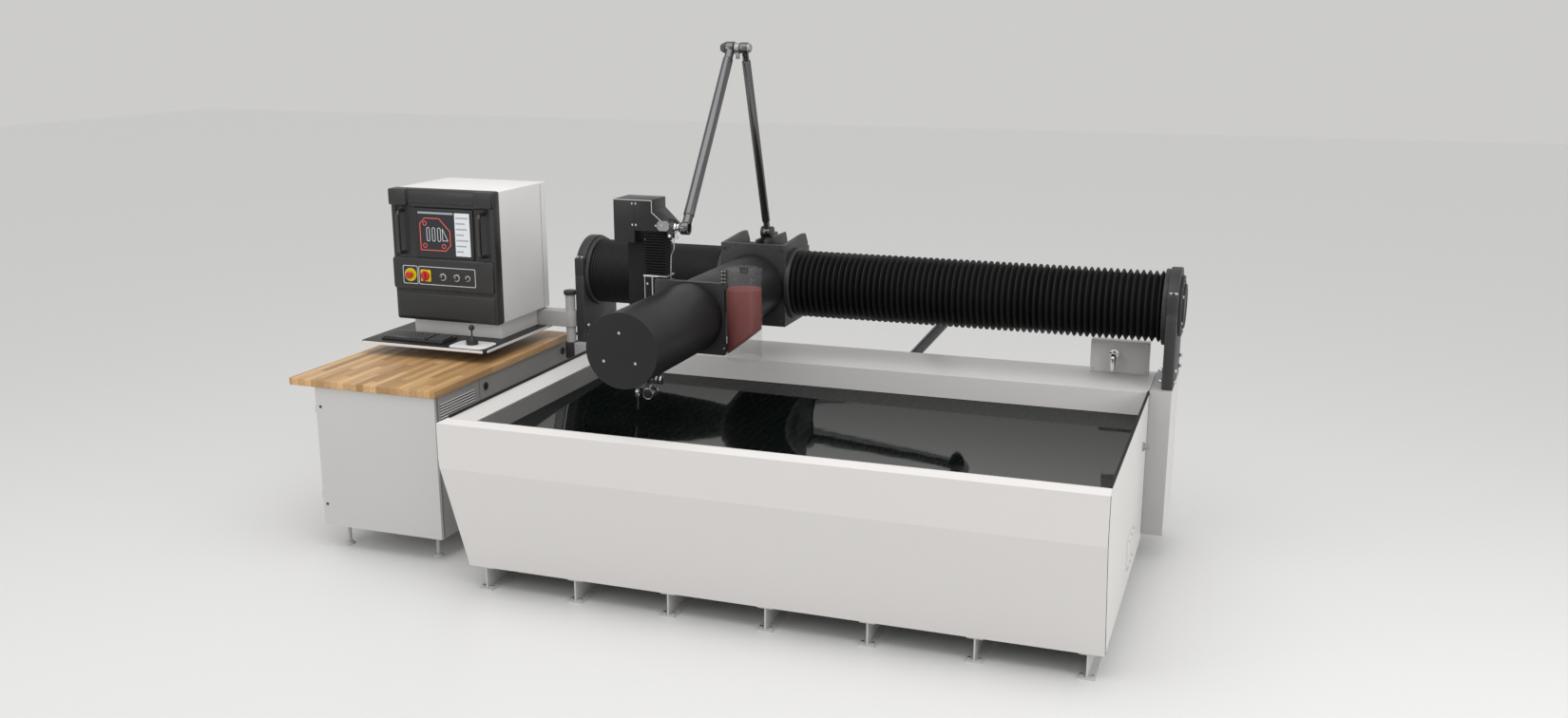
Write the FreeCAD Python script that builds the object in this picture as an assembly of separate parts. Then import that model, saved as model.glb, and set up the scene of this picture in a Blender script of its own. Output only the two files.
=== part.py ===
import FreeCAD, Part
import math
import os

# Waterjet cutting machine: a water tank on foot beams, a bridge across its rear,
# a round cantilever arm that carries the cutting head, folding high-pressure
# tubes over the arm, and a control console on a cabinet at the left.
# Millimetres, +Z up, X to the right, Y towards the back, Z = 0 on the floor.
# Everything is laid out from the tank's left front corner and moved at the end,
# so that the origin is under the middle foot beam.

# Tank
tank_length = 3251.0
tank_depth = 2160.0
rim_height = 928.0
tank_bottom = 120.0
tank_sheet = 6.0
front_fold_height = 679.0
front_setback = 140.0
left_fold_height = 730.0
left_setback = 57.0
lip_rise = 20.0
lip_run = 34.0
lip_flange = 12.0
left_lip_run = 40.0
left_trim_seat = 14.0
left_ledge_reach = 150.0
left_ledge_drop = 28.0
ledge_depth = 470.0
trim_width = 12.0
trim_height = 14.0

# Foot beams
foot_pitch = 505.0
foot_first = 147.0
foot_width = 76.0
foot_flange = 8.0
foot_web = 8.0
foot_overhang = 6.0

# Work supports in the tank
slat_pitch = 50.8
slat_thickness = 3.0
slat_height = 100.0
slat_top = 796.0
slat_end_gap = 4.0
rail_height = 90.0
rail_thickness = 10.0
rail_seat_depth = 30.0

# Side access plate and hose fitting on the right wall
access_from_rear = 1150.0
access_width = 250.0
access_bottom = 232.0
access_height = 300.0
access_thickness = 8.0
drain_radius = 22.0
drain_length = 34.0
drain_from_rear = 710.0
drain_below_rim = 228.0

# Bridge columns and split clamps
column_width = 112.0
column_depth = 500.0
column_bottom = 150.0
column_rise = 15.0
bracket_thickness = 56.0
bracket_width = 430.0
bracket_shoulder = 104.0
bracket_cap_radius = 215.0

# Bridge beam and bellows
beam_from_rear = 245.0
beam_above_column = 403.5
beam_radius = 110.0
beam_wall = 16.0
beam_end_radius = 152.0
beam_end_thickness = 34.0
bellows_radius = 190.0
bellows_bore = 150.0
bellows_ring_radius = 204.0
bellows_ring_width = 26.0
ring_clearance = 2.0
carriage_clearance = 6.0
slide_clearance = 0.4

# X carriage, with the arm's axis at this distance from the tank's left end
arm_x = 1006.5
carriage_half_width = 195.0
carriage_ahead = 174.0
carriage_behind = 260.0
carriage_below = 228.5
carriage_above = 243.5
carriage_plate = 25.0
hub_radius = 148.0
web_thickness = 12.0
fin_rise = 20.0
fin_crest_rise = 18.0
fin_crest_run = 70.0
fin_corner = 40.0
rear_plate_drop = 60.0
hub_clearance = 0.03

# Arm
arm_front = 20.0
arm_radius = 180.5
arm_wall = 9.0
arm_cap_thickness = 16.0
arm_cap_radius = 182.5
arm_flange_radius = 187.0
arm_flange_thickness = 14.0

# Y carriage: front plate round the arm
plate_y = 819.0
plate_thickness = 30.0
plate_half_width = 191.5
plate_half_height = 187.0
wiper_radius = 189.0
wiper_thickness = 8.0
side_plate_thickness = 18.0
side_plate_depth = 130.0
side_plate_gap = 2.5

# Z axis beside the arm
z_front_gap = 8.0
ram_left = 740.0
ram_width = 57.0
ram_depth = 94.0
ram_below_arm = 286.5
ram_above_arm = 199.5
rail_gap = 0.4
z_flange_thickness = 8.0
z_flange_width = 134.0
z_flange_depth = 98.0
z_flange_lip = 4.0
z_bellows_width = 122.0
z_bellows_depth = 94.0
cover_left_of_ram = 168.0
cover_width = 295.0
cover_depth = 184.0
cover_above_arm = 363.5
cover_height = 224.0
cover_notch = 116.0
cover_notch_height = 64.0
cover_shoulder = 82.0
cover_shoulder_low = 90.0
cover_shoulder_high = 170.0
mount_plate = 25.0

# Cutting head
nozzle_left_of_ram = 14.0
nozzle_ahead = 50.0
nozzle_tip_above_slats = 49.0
nozzle_tube_radius = 4.0
nozzle_tube_length = 70.0
nozzle_nut_radius = 13.0
nozzle_body_radius = 17.0
nozzle_body_above_bracket = 23.0
head_bracket_thickness = 22.0
head_bracket_drop = 0.0
probe_radius = 28.0
probe_length = 76.0
motor_radius = 24.0
motor_length = 82.0

# Abrasive hopper
hopper_radius = 93.0
hopper_wall = 5.0
hopper_below_arm = 194.5
hopper_height = 452.0
hopper_plate_gap = 10.0
hopper_behind = 17.0
garnet_depth = 360.0
garnet_low = 24.0
garnet_high = 164.0
lid_thickness = 12.0
hopper_pad_front = 14.0
hopper_pad_margin = 20.0

# Folding high-pressure tubes over the arm
link_length = 1100.0
fold_base_ahead = 35.0
fold_base_above = 50.0
fold_head_behind = 61.0
fold_head_above_seat = 23.0
lower_link_right = 38.5
upper_link_left = 40.5
lower_link_radius = 18.0
upper_link_radius = 24.0
joint_radius = 34.0
joint_width = 40.0
joint_pin_radius = 12.0
pin_clearance = 0.05
lug_side_gap = 0.5
head_pivot_clearance = 12.0
swivel_radius = 22.0
head_pivot_gap = 3.0

# Rear folding tubes behind the bridge
rear_plane_gap = 155.0
rear_base_x = 1625.0
rear_base_drop = 696.5
rear_reach = 425.0
rear_apex_drop = 199.5
rear_carriage_right = 143.5
rear_carriage_drop = 96.5
rear_tube_radius = 31.0
rear_joint_radius = 44.0
rear_joint_width = 64.0

# Fill pipe at the right rear
fill_box_from_right = 361.0
fill_box_width = 318.0
fill_box_depth = 60.0
fill_box_height = 180.0
fill_box_from_rear = 100.0
fill_sheet = 5.0
fill_pipe_radius = 17.0
fill_pipe_from_left = 130.0
fill_pipe_drop = 80.0
fill_pipe_reach = 62.0

# Cabinet and wooden top
cabinet_left = -1000.0
cabinet_right = -252.0
cabinet_front = 372.0
cabinet_rear = 1850.0
cabinet_height = 786.0
cabinet_sheet = 6.0
door_thickness = 20.0
door_gap = 6.0
door_side_gap = 3.0
hinge_radius = 6.0
hinge_offset = 5.0
hinge_pin_radius = 3.0
hinge_half = 40.0
hinge_leaf = 30.0
cabinet_foot_height = 131.0
cabinet_foot_size = 60.0
cabinet_foot_inset = 60.0
wood_left_overhang = 144.0
wood_right_overhang = 15.0
wood_front_overhang = 20.0
wood_rear_overhang = 10.0
wood_thickness = 40.0

# Console on its swing arm
console_left = -985.0
console_right = -318.0
console_front = 1150.0
console_rear = 1750.0
neck_height = 105.0
console_height = 753.0
bezel_depth = 70.0
console_sheet = 4.0
bezel_overhang = 4.0
stem_radius = 9.0
stem_depth = 14.0
stop_travel = 6.0
stop_from_left = 115.0
button_spacing = 100.0
button_height = 263.0
neck_inset = 42.0
neck_front_inset = 105.0
neck_rear_inset = 50.0
tray_left_overhang = 130.0
tray_right_overhang = 26.0
tray_front_overhang = 195.0
tray_rear_overhang = 15.0
tray_above_wood = 63.0
tray_thickness = 15.0
keyboard_left = 130.0
keyboard_back = 60.0
keyboard_width = 430.0
keyboard_depth = 155.0
keyboard_height = 24.0
pad_right = 40.0
pad_back = 30.0
pad_width = 190.0
pad_depth = 160.0
pad_thickness = 5.0
post_from_column = 40.0
post_behind_face = 45.0
post_radius = 29.0
post_drop = 43.0
post_height = 328.0
collar_height = 100.0
post_seat = 60.0
post_cap_radius = 38.0
post_cap_height = 26.0
swing_arm_gap = 1.0
swing_arm_height = 94.0
swing_arm_width = 84.0
swing_boss_wall = 9.0
swing_bore_gap = 0.3

origin_setback = 900.0

# Places that follow from the sizes above
foot_count = int((tank_length - foot_first - foot_width / 2) // foot_pitch) + 1
origin_x = foot_first + (foot_count - 1) // 2 * foot_pitch
to_origin = FreeCAD.Vector(-origin_x, -origin_setback, 0)
ledge_front = tank_depth - ledge_depth
column_front = tank_depth - column_depth
column_top = rim_height + column_rise
beam_y = tank_depth - beam_from_rear
beam_z = column_top + beam_above_column
arm_z = beam_z
carriage_front = beam_y - carriage_ahead
carriage_rear = beam_y + carriage_behind
carriage_bottom = beam_z - carriage_below
carriage_top = beam_z + carriage_above
ram_bottom = arm_z - ram_below_arm
ram_top = arm_z + ram_above_arm
cover_low = arm_z + cover_above_arm
cover_seat = cover_low + cover_notch_height
cover_left = ram_left - cover_left_of_ram
cover_right = cover_left + cover_width
cover_top = cover_low + cover_height
cover_notch_x = cover_left + cover_notch
cover_chamfer_x = cover_right - cover_shoulder
cover_chamfer_low = cover_low + cover_shoulder_low
cover_chamfer_high = cover_low + cover_shoulder_high
nozzle_x = ram_left - nozzle_left_of_ram
nozzle_y = plate_y - nozzle_ahead
head_bracket_z = ram_bottom - head_bracket_drop
nozzle_body_top = head_bracket_z + nozzle_body_above_bracket
hopper_bottom = arm_z - hopper_below_arm
hopper_y = plate_y + hopper_behind
fold_base_y = beam_y - fold_base_ahead
fold_base_z = carriage_top + fold_base_above
fold_head_y = plate_y + fold_head_behind
fold_head_z = cover_seat + fold_head_above_seat
lower_link_x = arm_x + lower_link_right
upper_link_x = arm_x - upper_link_left
rear_plane_y = carriage_rear + rear_plane_gap
rear_base_z = beam_z - rear_base_drop
rear_apex_x = rear_base_x + rear_reach
rear_apex_z = beam_z - rear_apex_drop
rear_carriage_x = arm_x + rear_carriage_right
rear_carriage_z = beam_z - rear_carriage_drop
fill_box_left = tank_length - fill_box_from_right
fill_box_front = tank_depth - fill_box_from_rear
fill_pipe_x = fill_box_left + fill_pipe_from_left
cabinet_bottom = cabinet_foot_height
cabinet_top = cabinet_bottom + cabinet_height
wood_left = cabinet_left - wood_left_overhang
wood_right = cabinet_right + wood_right_overhang
wood_front = cabinet_front - wood_front_overhang
wood_rear = cabinet_rear + wood_rear_overhang
tray_left = console_left - tray_left_overhang
tray_right = console_right + tray_right_overhang
tray_front = console_front - tray_front_overhang
tray_rear = console_rear + tray_rear_overhang
tray_bottom = cabinet_top + wood_thickness + tray_above_wood
console_bottom = tray_bottom + tray_thickness + neck_height
console_top = console_bottom + console_height
neck_front = console_front + neck_front_inset
neck_rear = console_rear - neck_rear_inset
post_x = -column_width - post_from_column
post_y = column_front + post_behind_face
post_bottom = column_top - post_drop
post_top = post_bottom + post_height
arm_bracket_low = tray_bottom + tray_thickness + swing_arm_gap
arm_bracket_high = arm_bracket_low + swing_arm_height


# Small building blocks
def vec(x, y, z):
    return FreeCAD.Vector(x, y, z)


def block(x0, x1, y0, y1, z0, z1):
    return Part.makeBox(x1 - x0, y1 - y0, z1 - z0, vec(x0, y0, z0))


def rod_x(x0, x1, y, z, radius):
    return Part.makeCylinder(radius, x1 - x0, vec(x0, y, z), vec(1, 0, 0))


def rod_y(x, y0, y1, z, radius):
    return Part.makeCylinder(radius, y1 - y0, vec(x, y0, z), vec(0, 1, 0))


def rod_z(x, y, z0, z1, radius):
    return Part.makeCylinder(radius, z1 - z0, vec(x, y, z0), vec(0, 0, 1))


def rod_between(start, end, radius):
    return Part.makeCylinder(radius, (end - start).Length, start, end - start)


def prism_x(outline, x0, x1):
    """A solid from an outline of (y, z) points, drawn out along X."""
    points = [vec(x0, y, z) for y, z in outline]
    face = Part.Face(Part.makePolygon(points + points[:1]))
    return face.extrude(vec(x1 - x0, 0, 0))


def prism_y(outline, y0, y1):
    """A solid from an outline of (x, z) points, drawn out along Y."""
    points = [vec(x, y0, z) for x, z in outline]
    face = Part.Face(Part.makePolygon(points + points[:1]))
    return face.extrude(vec(0, y1 - y0, 0))


def prism_z(outline, z0, z1):
    """A solid from an outline of (x, y) points, drawn out along Z."""
    points = [vec(x, y, z0) for x, y in outline]
    face = Part.Face(Part.makePolygon(points + points[:1]))
    return face.extrude(vec(0, 0, z1 - z0))


def sheet_outline(path, thickness):
    """The closed outline of a folded sheet whose outer side follows path."""
    directions = []
    for (a0, b0), (a1, b1) in zip(path, path[1:]):
        length = math.hypot(a1 - a0, b1 - b0)
        directions.append(((a1 - a0) / length, (b1 - b0) / length))
    inner = []
    for i, (a, b) in enumerate(path):
        before = directions[max(i - 1, 0)]
        after = directions[min(i, len(directions) - 1)]
        normal = (before[1] + after[1], -before[0] - after[0])
        size = math.hypot(*normal)
        along = normal[0] * before[1] - normal[1] * before[0]
        reach = thickness / (along / size)
        inner.append((a + normal[0] / size * reach, b + normal[1] / size * reach))
    return path + inner[::-1]


def fused(first, *others):
    return first.fuse(list(others)).removeSplitter() if others else first


def cut(shape, *tools):
    return shape.cut(list(tools))


# Tank outlines, shared by the sheets and what they meet
front_path = [
    (front_setback, tank_bottom),
    (0.0, front_fold_height),
    (0.0, rim_height - lip_rise),
    (lip_run, rim_height),
    (lip_run + lip_flange, rim_height),
]
left_path = [
    (left_setback, tank_bottom),
    (0.0, left_fold_height),
    (0.0, rim_height - lip_rise),
    (left_lip_run, rim_height),
]


def tank_front():
    sheet = prism_x(sheet_outline(front_path, tank_sheet), 0, tank_length)
    beyond_slope = [
        (-1.0, 0.0),
        (left_setback, 0.0),
        (left_setback, tank_bottom),
        (0.0, left_fold_height),
        (-1.0, left_fold_height),
    ]
    lip_end = lip_run + lip_flange + 1
    beyond_mitre = [
        (-1.0, 0.0),
        (0.0, 0.0),
        (left_lip_run, lip_run),
        (left_lip_run, lip_end),
        (-1.0, lip_end),
    ]
    beyond = prism_y(beyond_slope, -1.0, tank_depth)
    corner = prism_z(beyond_mitre, rim_height - lip_rise, rim_height + 1)
    return cut(sheet, beyond, corner)


def tank_inner_section(x0, x1, top):
    """The space inside the front and rear sheets, between two X positions."""
    inner = sheet_outline(front_path[:4], tank_sheet)[:3:-1]
    rear = tank_depth - tank_sheet
    lip_end = lip_run + lip_flange
    outline = [inner[0], inner[1], inner[2], (inner[3][0], rim_height - tank_sheet)]
    if top > rim_height - tank_sheet:
        outline += [(lip_end, rim_height - tank_sheet), (lip_end, top)]
    outline += [(rear, top), (rear, tank_bottom)]
    return prism_x(outline, x0, x1)


def tank_left_end():
    path = left_path + [
        (left_lip_run + left_trim_seat, rim_height),
        (left_ledge_reach, rim_height - left_ledge_drop),
    ]
    sheet = prism_y(sheet_outline(path, tank_sheet), 0, tank_depth)
    inside = tank_inner_section(-1.0, left_ledge_reach + 1, rim_height + 1)
    rear_cap = prism_y(path + [(left_ledge_reach, tank_bottom)], tank_depth - tank_sheet, tank_depth)
    return fused(sheet.common(inside), rear_cap)


def tank_left_lining():
    top = rim_height - left_ledge_drop - tank_sheet
    x0 = left_ledge_reach - tank_sheet
    lining = block(x0, left_ledge_reach, 0, ledge_front, tank_bottom + tank_sheet, top)
    return lining.common(tank_inner_section(0, left_ledge_reach, top))


def tank_right_end():
    return tank_inner_section(tank_length - tank_sheet, tank_length, rim_height - tank_sheet)


def tank_rear():
    path = [
        (tank_depth, tank_bottom),
        (tank_depth, rim_height),
        (ledge_front, rim_height),
        (ledge_front, tank_bottom + tank_sheet),
    ]
    outline = sheet_outline(path[::-1], tank_sheet)
    return prism_x(outline, left_ledge_reach, tank_length - tank_sheet)


def tank_floor():
    left = left_setback + tank_sheet
    front = front_setback + tank_sheet
    rear = tank_depth - tank_sheet
    return block(left, tank_length - tank_sheet, front, rear, tank_bottom, tank_bottom + tank_sheet)


def rim_trim(x, z):
    front = lip_run + lip_flange + 1
    return block(x - trim_width / 2, x + trim_width / 2, front, ledge_front, z, z + trim_height)


def foot_beams():
    beams = []
    rear = tank_depth
    for i in range(foot_count):
        x = foot_first + i * foot_pitch
        x0 = x - foot_width / 2
        x1 = x + foot_width / 2
        front = front_setback + tank_sheet
        seat = tank_bottom - foot_flange
        low = block(x0, x1, front_setback - foot_overhang, rear, 0, foot_flange)
        high = block(x0, x1, front, rear, seat, tank_bottom)
        web = block(x - foot_web / 2, x + foot_web / 2, front, rear, foot_flange, seat)
        beams.append(fused(low, high, web))
    return Part.makeCompound(beams)


# Work supports
slat_bottom = slat_top - slat_height
slat_front = lip_run + tank_sheet + slat_end_gap
slat_rear = ledge_front - slat_end_gap


def support_slats():
    room = tank_length - tank_sheet - left_ledge_reach
    count = int((room - slat_pitch) // slat_pitch) + 1
    first = left_ledge_reach + (room - (count - 1) * slat_pitch) / 2
    slats = []
    for i in range(count):
        x0 = first + i * slat_pitch - slat_thickness / 2
        x1 = x0 + slat_thickness
        slats.append(block(x0, x1, slat_front, slat_rear, slat_bottom, slat_top))
    return Part.makeCompound(slats)


def slat_rail(seat_front, at_front):
    """An angle that carries the slats' ends, with its wall against the tank."""
    y0 = seat_front
    y1 = seat_front + rail_seat_depth
    low = slat_bottom - rail_height
    x1 = tank_length - tank_sheet
    seat_low = slat_bottom - rail_thickness
    seat = block(left_ledge_reach, x1, y0, y1, seat_low, slat_bottom)
    wall_y = y0 if at_front else y1 - rail_thickness
    wall = block(left_ledge_reach, x1, wall_y, wall_y + rail_thickness, low, seat_low)
    return fused(seat, wall)


def front_wall_inside_y(z):
    """Where the front sheet's inner side lies at height z, below its fold."""
    share = (front_fold_height - z) / (front_fold_height - tank_bottom)
    return tank_sheet + 1.5 + front_setback * max(share, 0.0)


def slat_rail_front():
    return slat_rail(front_wall_inside_y(slat_bottom - rail_height), True)


def slat_rail_rear():
    return slat_rail(ledge_front - rail_seat_depth, False)


# Right wall fittings
def access_plate():
    x = tank_length
    access_y = tank_depth - access_from_rear
    y0 = access_y - access_width / 2
    high = access_bottom + access_height
    plate = block(x, x + access_thickness, y0, y0 + access_width, access_bottom, high)
    rim = [edge for edge in plate.Edges if edge.BoundBox.XMin > x + access_thickness / 2]
    return plate.makeChamfer(access_thickness / 3, rim)


def drain_fitting():
    x = tank_length
    drain_y = tank_depth - drain_from_rear
    drain_z = rim_height - drain_below_rim
    nut = rod_x(x, x + drain_length / 2, drain_y, drain_z, drain_radius)
    pipe = rod_x(x + drain_length / 2, x + drain_length, drain_y, drain_z, drain_radius * 0.7)
    return fused(nut, pipe)


# Bridge
left_column_x = -column_width
right_column_x = tank_length
left_bracket_x = left_column_x
right_bracket_x = tank_length + column_width - bracket_thickness
bracket_front = beam_y - bracket_width / 2
bracket_rear = beam_y + bracket_width / 2


def column(x):
    return block(x, x + column_width, column_front, tank_depth, column_bottom, column_top)


def bracket_saddle(x):
    x1 = x + bracket_thickness
    leg = block(x, x1, bracket_front, bracket_rear, column_top, beam_z)
    return cut(leg, rod_x(x - 1, x1 + 1, beam_y, beam_z, beam_radius))


def bracket_cap(x):
    x1 = x + bracket_thickness
    crown_top = beam_z + bracket_cap_radius
    shoulders = block(x, x1, bracket_front, bracket_rear, beam_z, beam_z + bracket_shoulder)
    upper_half = block(x, x1, bracket_front, bracket_rear, beam_z, crown_top)
    crown = rod_x(x, x1, beam_y, beam_z, bracket_cap_radius).common(upper_half)
    return cut(fused(shoulders, crown), rod_x(x - 1, x1 + 1, beam_y, beam_z, beam_radius))


def bridge_beam():
    x1 = right_bracket_x + bracket_thickness
    return tube_x(left_bracket_x, x1, beam_radius - 0.05, beam_radius - beam_wall)


def beam_end(x, outward):
    start = x if outward > 0 else x - beam_end_thickness
    return rod_x(start, start + beam_end_thickness, beam_y, beam_z, beam_end_radius)


def tube_x(x0, x1, outer, inner):
    """A tube round the bridge beam's axis."""
    bore = rod_x(x0 - 1, x1 + 1, beam_y, beam_z, inner)
    return cut(rod_x(x0, x1, beam_y, beam_z, outer), bore)


carriage_left = arm_x - carriage_half_width
carriage_right = arm_x + carriage_half_width
left_bellows_start = left_bracket_x + bracket_thickness + bellows_ring_width
right_bellows_end = right_bracket_x - bellows_ring_width
left_bellows_end = carriage_left - bellows_ring_width
right_bellows_start = carriage_right + bellows_ring_width


def ring_left_fixed():
    x0 = left_bellows_start - bellows_ring_width
    return tube_x(x0, left_bellows_start, bellows_ring_radius, beam_radius + ring_clearance)


def ring_right_fixed():
    x1 = right_bellows_end + bellows_ring_width
    return tube_x(right_bellows_end, x1, bellows_ring_radius, beam_radius + ring_clearance)


def bellows_flanges():
    bore = beam_radius + carriage_clearance
    left = tube_x(left_bellows_end, carriage_left, bellows_ring_radius, bore)
    right = tube_x(carriage_right, right_bellows_start, bellows_ring_radius, bore)
    return Part.makeCompound([left, right])


def bellows_sleeve(x0, x1):
    return tube_x(x0, x1, bellows_radius, bellows_bore)


# X carriage
def side_plate_x(x):
    y0 = carriage_front + carriage_plate
    y1 = carriage_rear - carriage_plate
    crest = carriage_top + fin_crest_rise
    outline = [
        (y0, carriage_bottom),
        (y1, carriage_bottom),
        (y1, carriage_top - fin_corner),
        (y1 - fin_corner, crest),
        (y1 - fin_corner - fin_crest_run, crest),
        (y0, carriage_top),
    ]
    plate = prism_x(outline, x, x + carriage_plate)
    bore = rod_x(x - 1, x + carriage_plate + 1, beam_y, beam_z, beam_radius + carriage_clearance)
    return cut(plate, bore)


def carriage_front_plate():
    y1 = carriage_front + carriage_plate
    return block(carriage_left, carriage_right, carriage_front, y1, carriage_bottom, carriage_top)


def carriage_plates():
    sides = [side_plate_x(carriage_left), side_plate_x(carriage_right - carriage_plate)]
    return fused(carriage_front_plate(), carriage_rear_plate(), *sides)


def carriage_rear_plate():
    y0 = carriage_rear - carriage_plate
    high = carriage_top - rear_plate_drop
    return block(carriage_left, carriage_right, y0, carriage_rear, carriage_bottom, high)


def carriage_hub():
    x0 = carriage_left + carriage_plate
    x1 = carriage_right - carriage_plate
    return tube_x(x0, x1, hub_radius, beam_radius + hub_clearance)


def fold_lug(x):
    """One rib over the beam, with a lug for the foot of the folding tubes."""
    y0 = carriage_front + carriage_plate
    y1 = carriage_rear - carriage_plate
    outline = [
        (y0, beam_z),
        (y1, beam_z),
        (y1, carriage_top - rear_plate_drop),
        (y1 - fin_corner, carriage_top + fin_rise),
        (y0, carriage_top + fin_rise),
    ]
    rib = prism_x(outline, x, x + web_thickness)
    lug = rod_x(x, x + web_thickness, fold_base_y, fold_base_z, joint_radius)
    hub_space = rod_x(x - 1, x + web_thickness + 1, beam_y, beam_z, hub_radius)
    return cut(fused(rib, lug), hub_space)


lug_left_x = lower_link_x - joint_width / 2 - lug_side_gap - web_thickness
lug_right_x = lower_link_x + joint_width / 2 + lug_side_gap


def tube_stand():
    """Both cheeks, and the pin that the lower tube turns on."""
    end = lug_right_x + web_thickness
    pin = rod_x(lug_left_x, end, fold_base_y, fold_base_z, joint_pin_radius)
    x0 = lug_left_x + web_thickness
    running = rod_x(x0, lug_right_x, fold_base_y, fold_base_z, joint_pin_radius - pin_clearance)
    inside = rod_x(x0, lug_right_x, fold_base_y, fold_base_z, joint_radius)
    ends = cut(pin, inside)
    return fused(fold_lug(lug_left_x), fold_lug(lug_right_x), ends, running)


# Arm
def arm_tube():
    y0 = arm_front + arm_cap_thickness
    y1 = carriage_front - arm_flange_thickness
    tube = rod_y(arm_x, y0, y1, arm_z, arm_radius)
    flange = rod_y(arm_x, y1, carriage_front, arm_z, arm_flange_radius)
    hollow = rod_y(arm_x, y0 - 1, carriage_front + 1, arm_z, arm_radius - arm_wall)
    return cut(fused(tube, flange), hollow)


def arm_cap():
    disc = rod_y(arm_x, arm_front, arm_front + arm_cap_thickness, arm_z, arm_cap_radius)
    rim = [edge for edge in disc.Edges if edge.BoundBox.YMax - arm_front < 0.01 and edge.BoundBox.XLength > 1]
    return disc.makeChamfer(4.0, rim)


# Y carriage
plate_left = arm_x - plate_half_width
plate_right = arm_x + plate_half_width
plate_rear = plate_y + plate_thickness
side_right_x = arm_x - arm_radius - side_plate_gap
side_left_x = side_right_x - side_plate_thickness


def y_front_plate():
    low = arm_z - plate_half_height
    high = arm_z + plate_half_height
    plate = block(plate_left, plate_right, plate_y, plate_rear, low, high)
    bore = rod_y(arm_x, plate_y - 1, plate_rear + 1, arm_z, arm_radius + slide_clearance)
    return cut(plate, bore)


def y_side_plate():
    """The upright behind the front plate's left edge that the Z axis slides on."""
    low = arm_z - plate_half_height + 20
    high = arm_z + plate_half_height - 40
    return block(side_left_x, side_right_x, plate_rear, plate_rear + side_plate_depth, low, high)


z_front = plate_rear + z_front_gap
z_rear = z_front + ram_depth
ram_right = ram_left + ram_width


def z_guide_rail():
    x0 = ram_right + rail_gap
    y0 = z_front + ram_depth * 0.3
    y1 = z_front + ram_depth * 0.7
    low = arm_z - plate_half_height + 32
    high = arm_z + plate_half_height - 52
    return block(x0, side_left_x, y0, y1, low, high)


def z_mount():
    """The upright behind the ram that carries the cover box."""
    y1 = plate_rear + side_plate_depth
    low = arm_z - plate_half_height + 40
    return block(cover_left + 30, side_left_x, y1 - mount_plate, y1, low, cover_low)


def z_cover():
    outline = [
        (cover_left, cover_low),
        (cover_notch_x, cover_low),
        (cover_notch_x, cover_seat),
        (cover_right, cover_seat),
        (cover_right, cover_chamfer_low),
        (cover_chamfer_x, cover_chamfer_high),
        (cover_chamfer_x, cover_top),
        (cover_left, cover_top),
    ]
    return prism_y(outline, z_front, z_front + cover_depth)


def z_ram():
    flange_low = ram_top - z_flange_thickness
    column_part = block(ram_left, ram_right, z_front, z_rear, ram_bottom, flange_low)
    x0 = ram_left - z_flange_lip
    y0 = z_front - z_flange_lip
    flange = block(x0, x0 + z_flange_width, y0, y0 + z_flange_depth, flange_low, ram_top)
    return fused(column_part, flange)


def z_bellows():
    x1 = ram_left + z_bellows_width
    return block(ram_left, x1, z_front, z_front + z_bellows_depth, ram_top, cover_seat)


# Cutting head
def head_bracket():
    y0 = nozzle_y - 30.0
    low = head_bracket_z - head_bracket_thickness
    arm_part = block(nozzle_x - 34, ram_right, y0, z_rear, low, head_bracket_z)
    bore = rod_z(nozzle_x, nozzle_y, head_bracket_z - 60, head_bracket_z + 60, nozzle_body_radius)
    return cut(arm_part, bore)


def nozzle():
    nozzle_tip = slat_top + nozzle_tip_above_slats
    tube_top = nozzle_tip + nozzle_tube_length
    tube = rod_z(nozzle_x, nozzle_y, nozzle_tip, tube_top, nozzle_tube_radius)
    nut = rod_z(nozzle_x, nozzle_y, tube_top, tube_top + 30, nozzle_nut_radius)
    waist = rod_z(nozzle_x, nozzle_y, tube_top + 30, tube_top + 60, nozzle_nut_radius * 0.75)
    body = rod_z(nozzle_x, nozzle_y, tube_top + 60, nozzle_body_top, nozzle_body_radius)
    return fused(tube, nut, waist, body)


def head_probe():
    """The height probe and its small motor on a plate under the head bracket."""
    top = head_bracket_z - head_bracket_thickness
    probe_x = nozzle_x + 78
    probe_z = top - 2 - probe_radius - 64
    probe = rod_y(probe_x, nozzle_y - 40, nozzle_y - 40 + probe_length, probe_z, probe_radius)
    start = nozzle_x + 60
    motor = rod_x(start, start + motor_length, nozzle_y + 6, top - motor_radius, motor_radius)
    plate = block(ram_right - 14, ram_right, nozzle_y - 30, nozzle_y - 4, probe_z, top)
    return fused(probe, motor, plate)


# Hopper
hopper_x = plate_right + hopper_plate_gap + hopper_radius


def hopper_shell():
    top = hopper_bottom + hopper_height
    outer = rod_z(hopper_x, hopper_y, hopper_bottom, top, hopper_radius)
    inner = rod_z(hopper_x, hopper_y, hopper_bottom - 1, top + 1, hopper_radius - hopper_wall)
    return cut(outer, inner)


def garnet():
    radius = hopper_radius - hopper_wall - 0.3
    low = hopper_bottom + garnet_low
    fill = rod_z(hopper_x, hopper_y, hopper_bottom, hopper_bottom + garnet_depth, radius)
    wedge = prism_y(
        [
            (hopper_x - radius - 1, hopper_bottom - 1),
            (hopper_x + radius + 1, hopper_bottom - 1),
            (hopper_x + radius + 1, hopper_bottom + garnet_high),
            (hopper_x - radius - 1, low),
        ],
        hopper_y - radius - 1,
        hopper_y + radius + 1,
    )
    return cut(fill, wedge)


def hopper_floor():
    radius = hopper_radius - hopper_wall - 0.3
    low = hopper_bottom + garnet_low - 2
    high = hopper_bottom + garnet_high - 2
    outline = [
        (hopper_x - radius, low),
        (hopper_x + radius, high),
        (hopper_x + radius, high - hopper_wall),
        (hopper_x - radius, low - hopper_wall),
    ]
    plate = prism_y(outline, hopper_y - radius, hopper_y + radius)
    return plate.common(rod_z(hopper_x, hopper_y, hopper_bottom, hopper_bottom + garnet_depth, radius))


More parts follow.
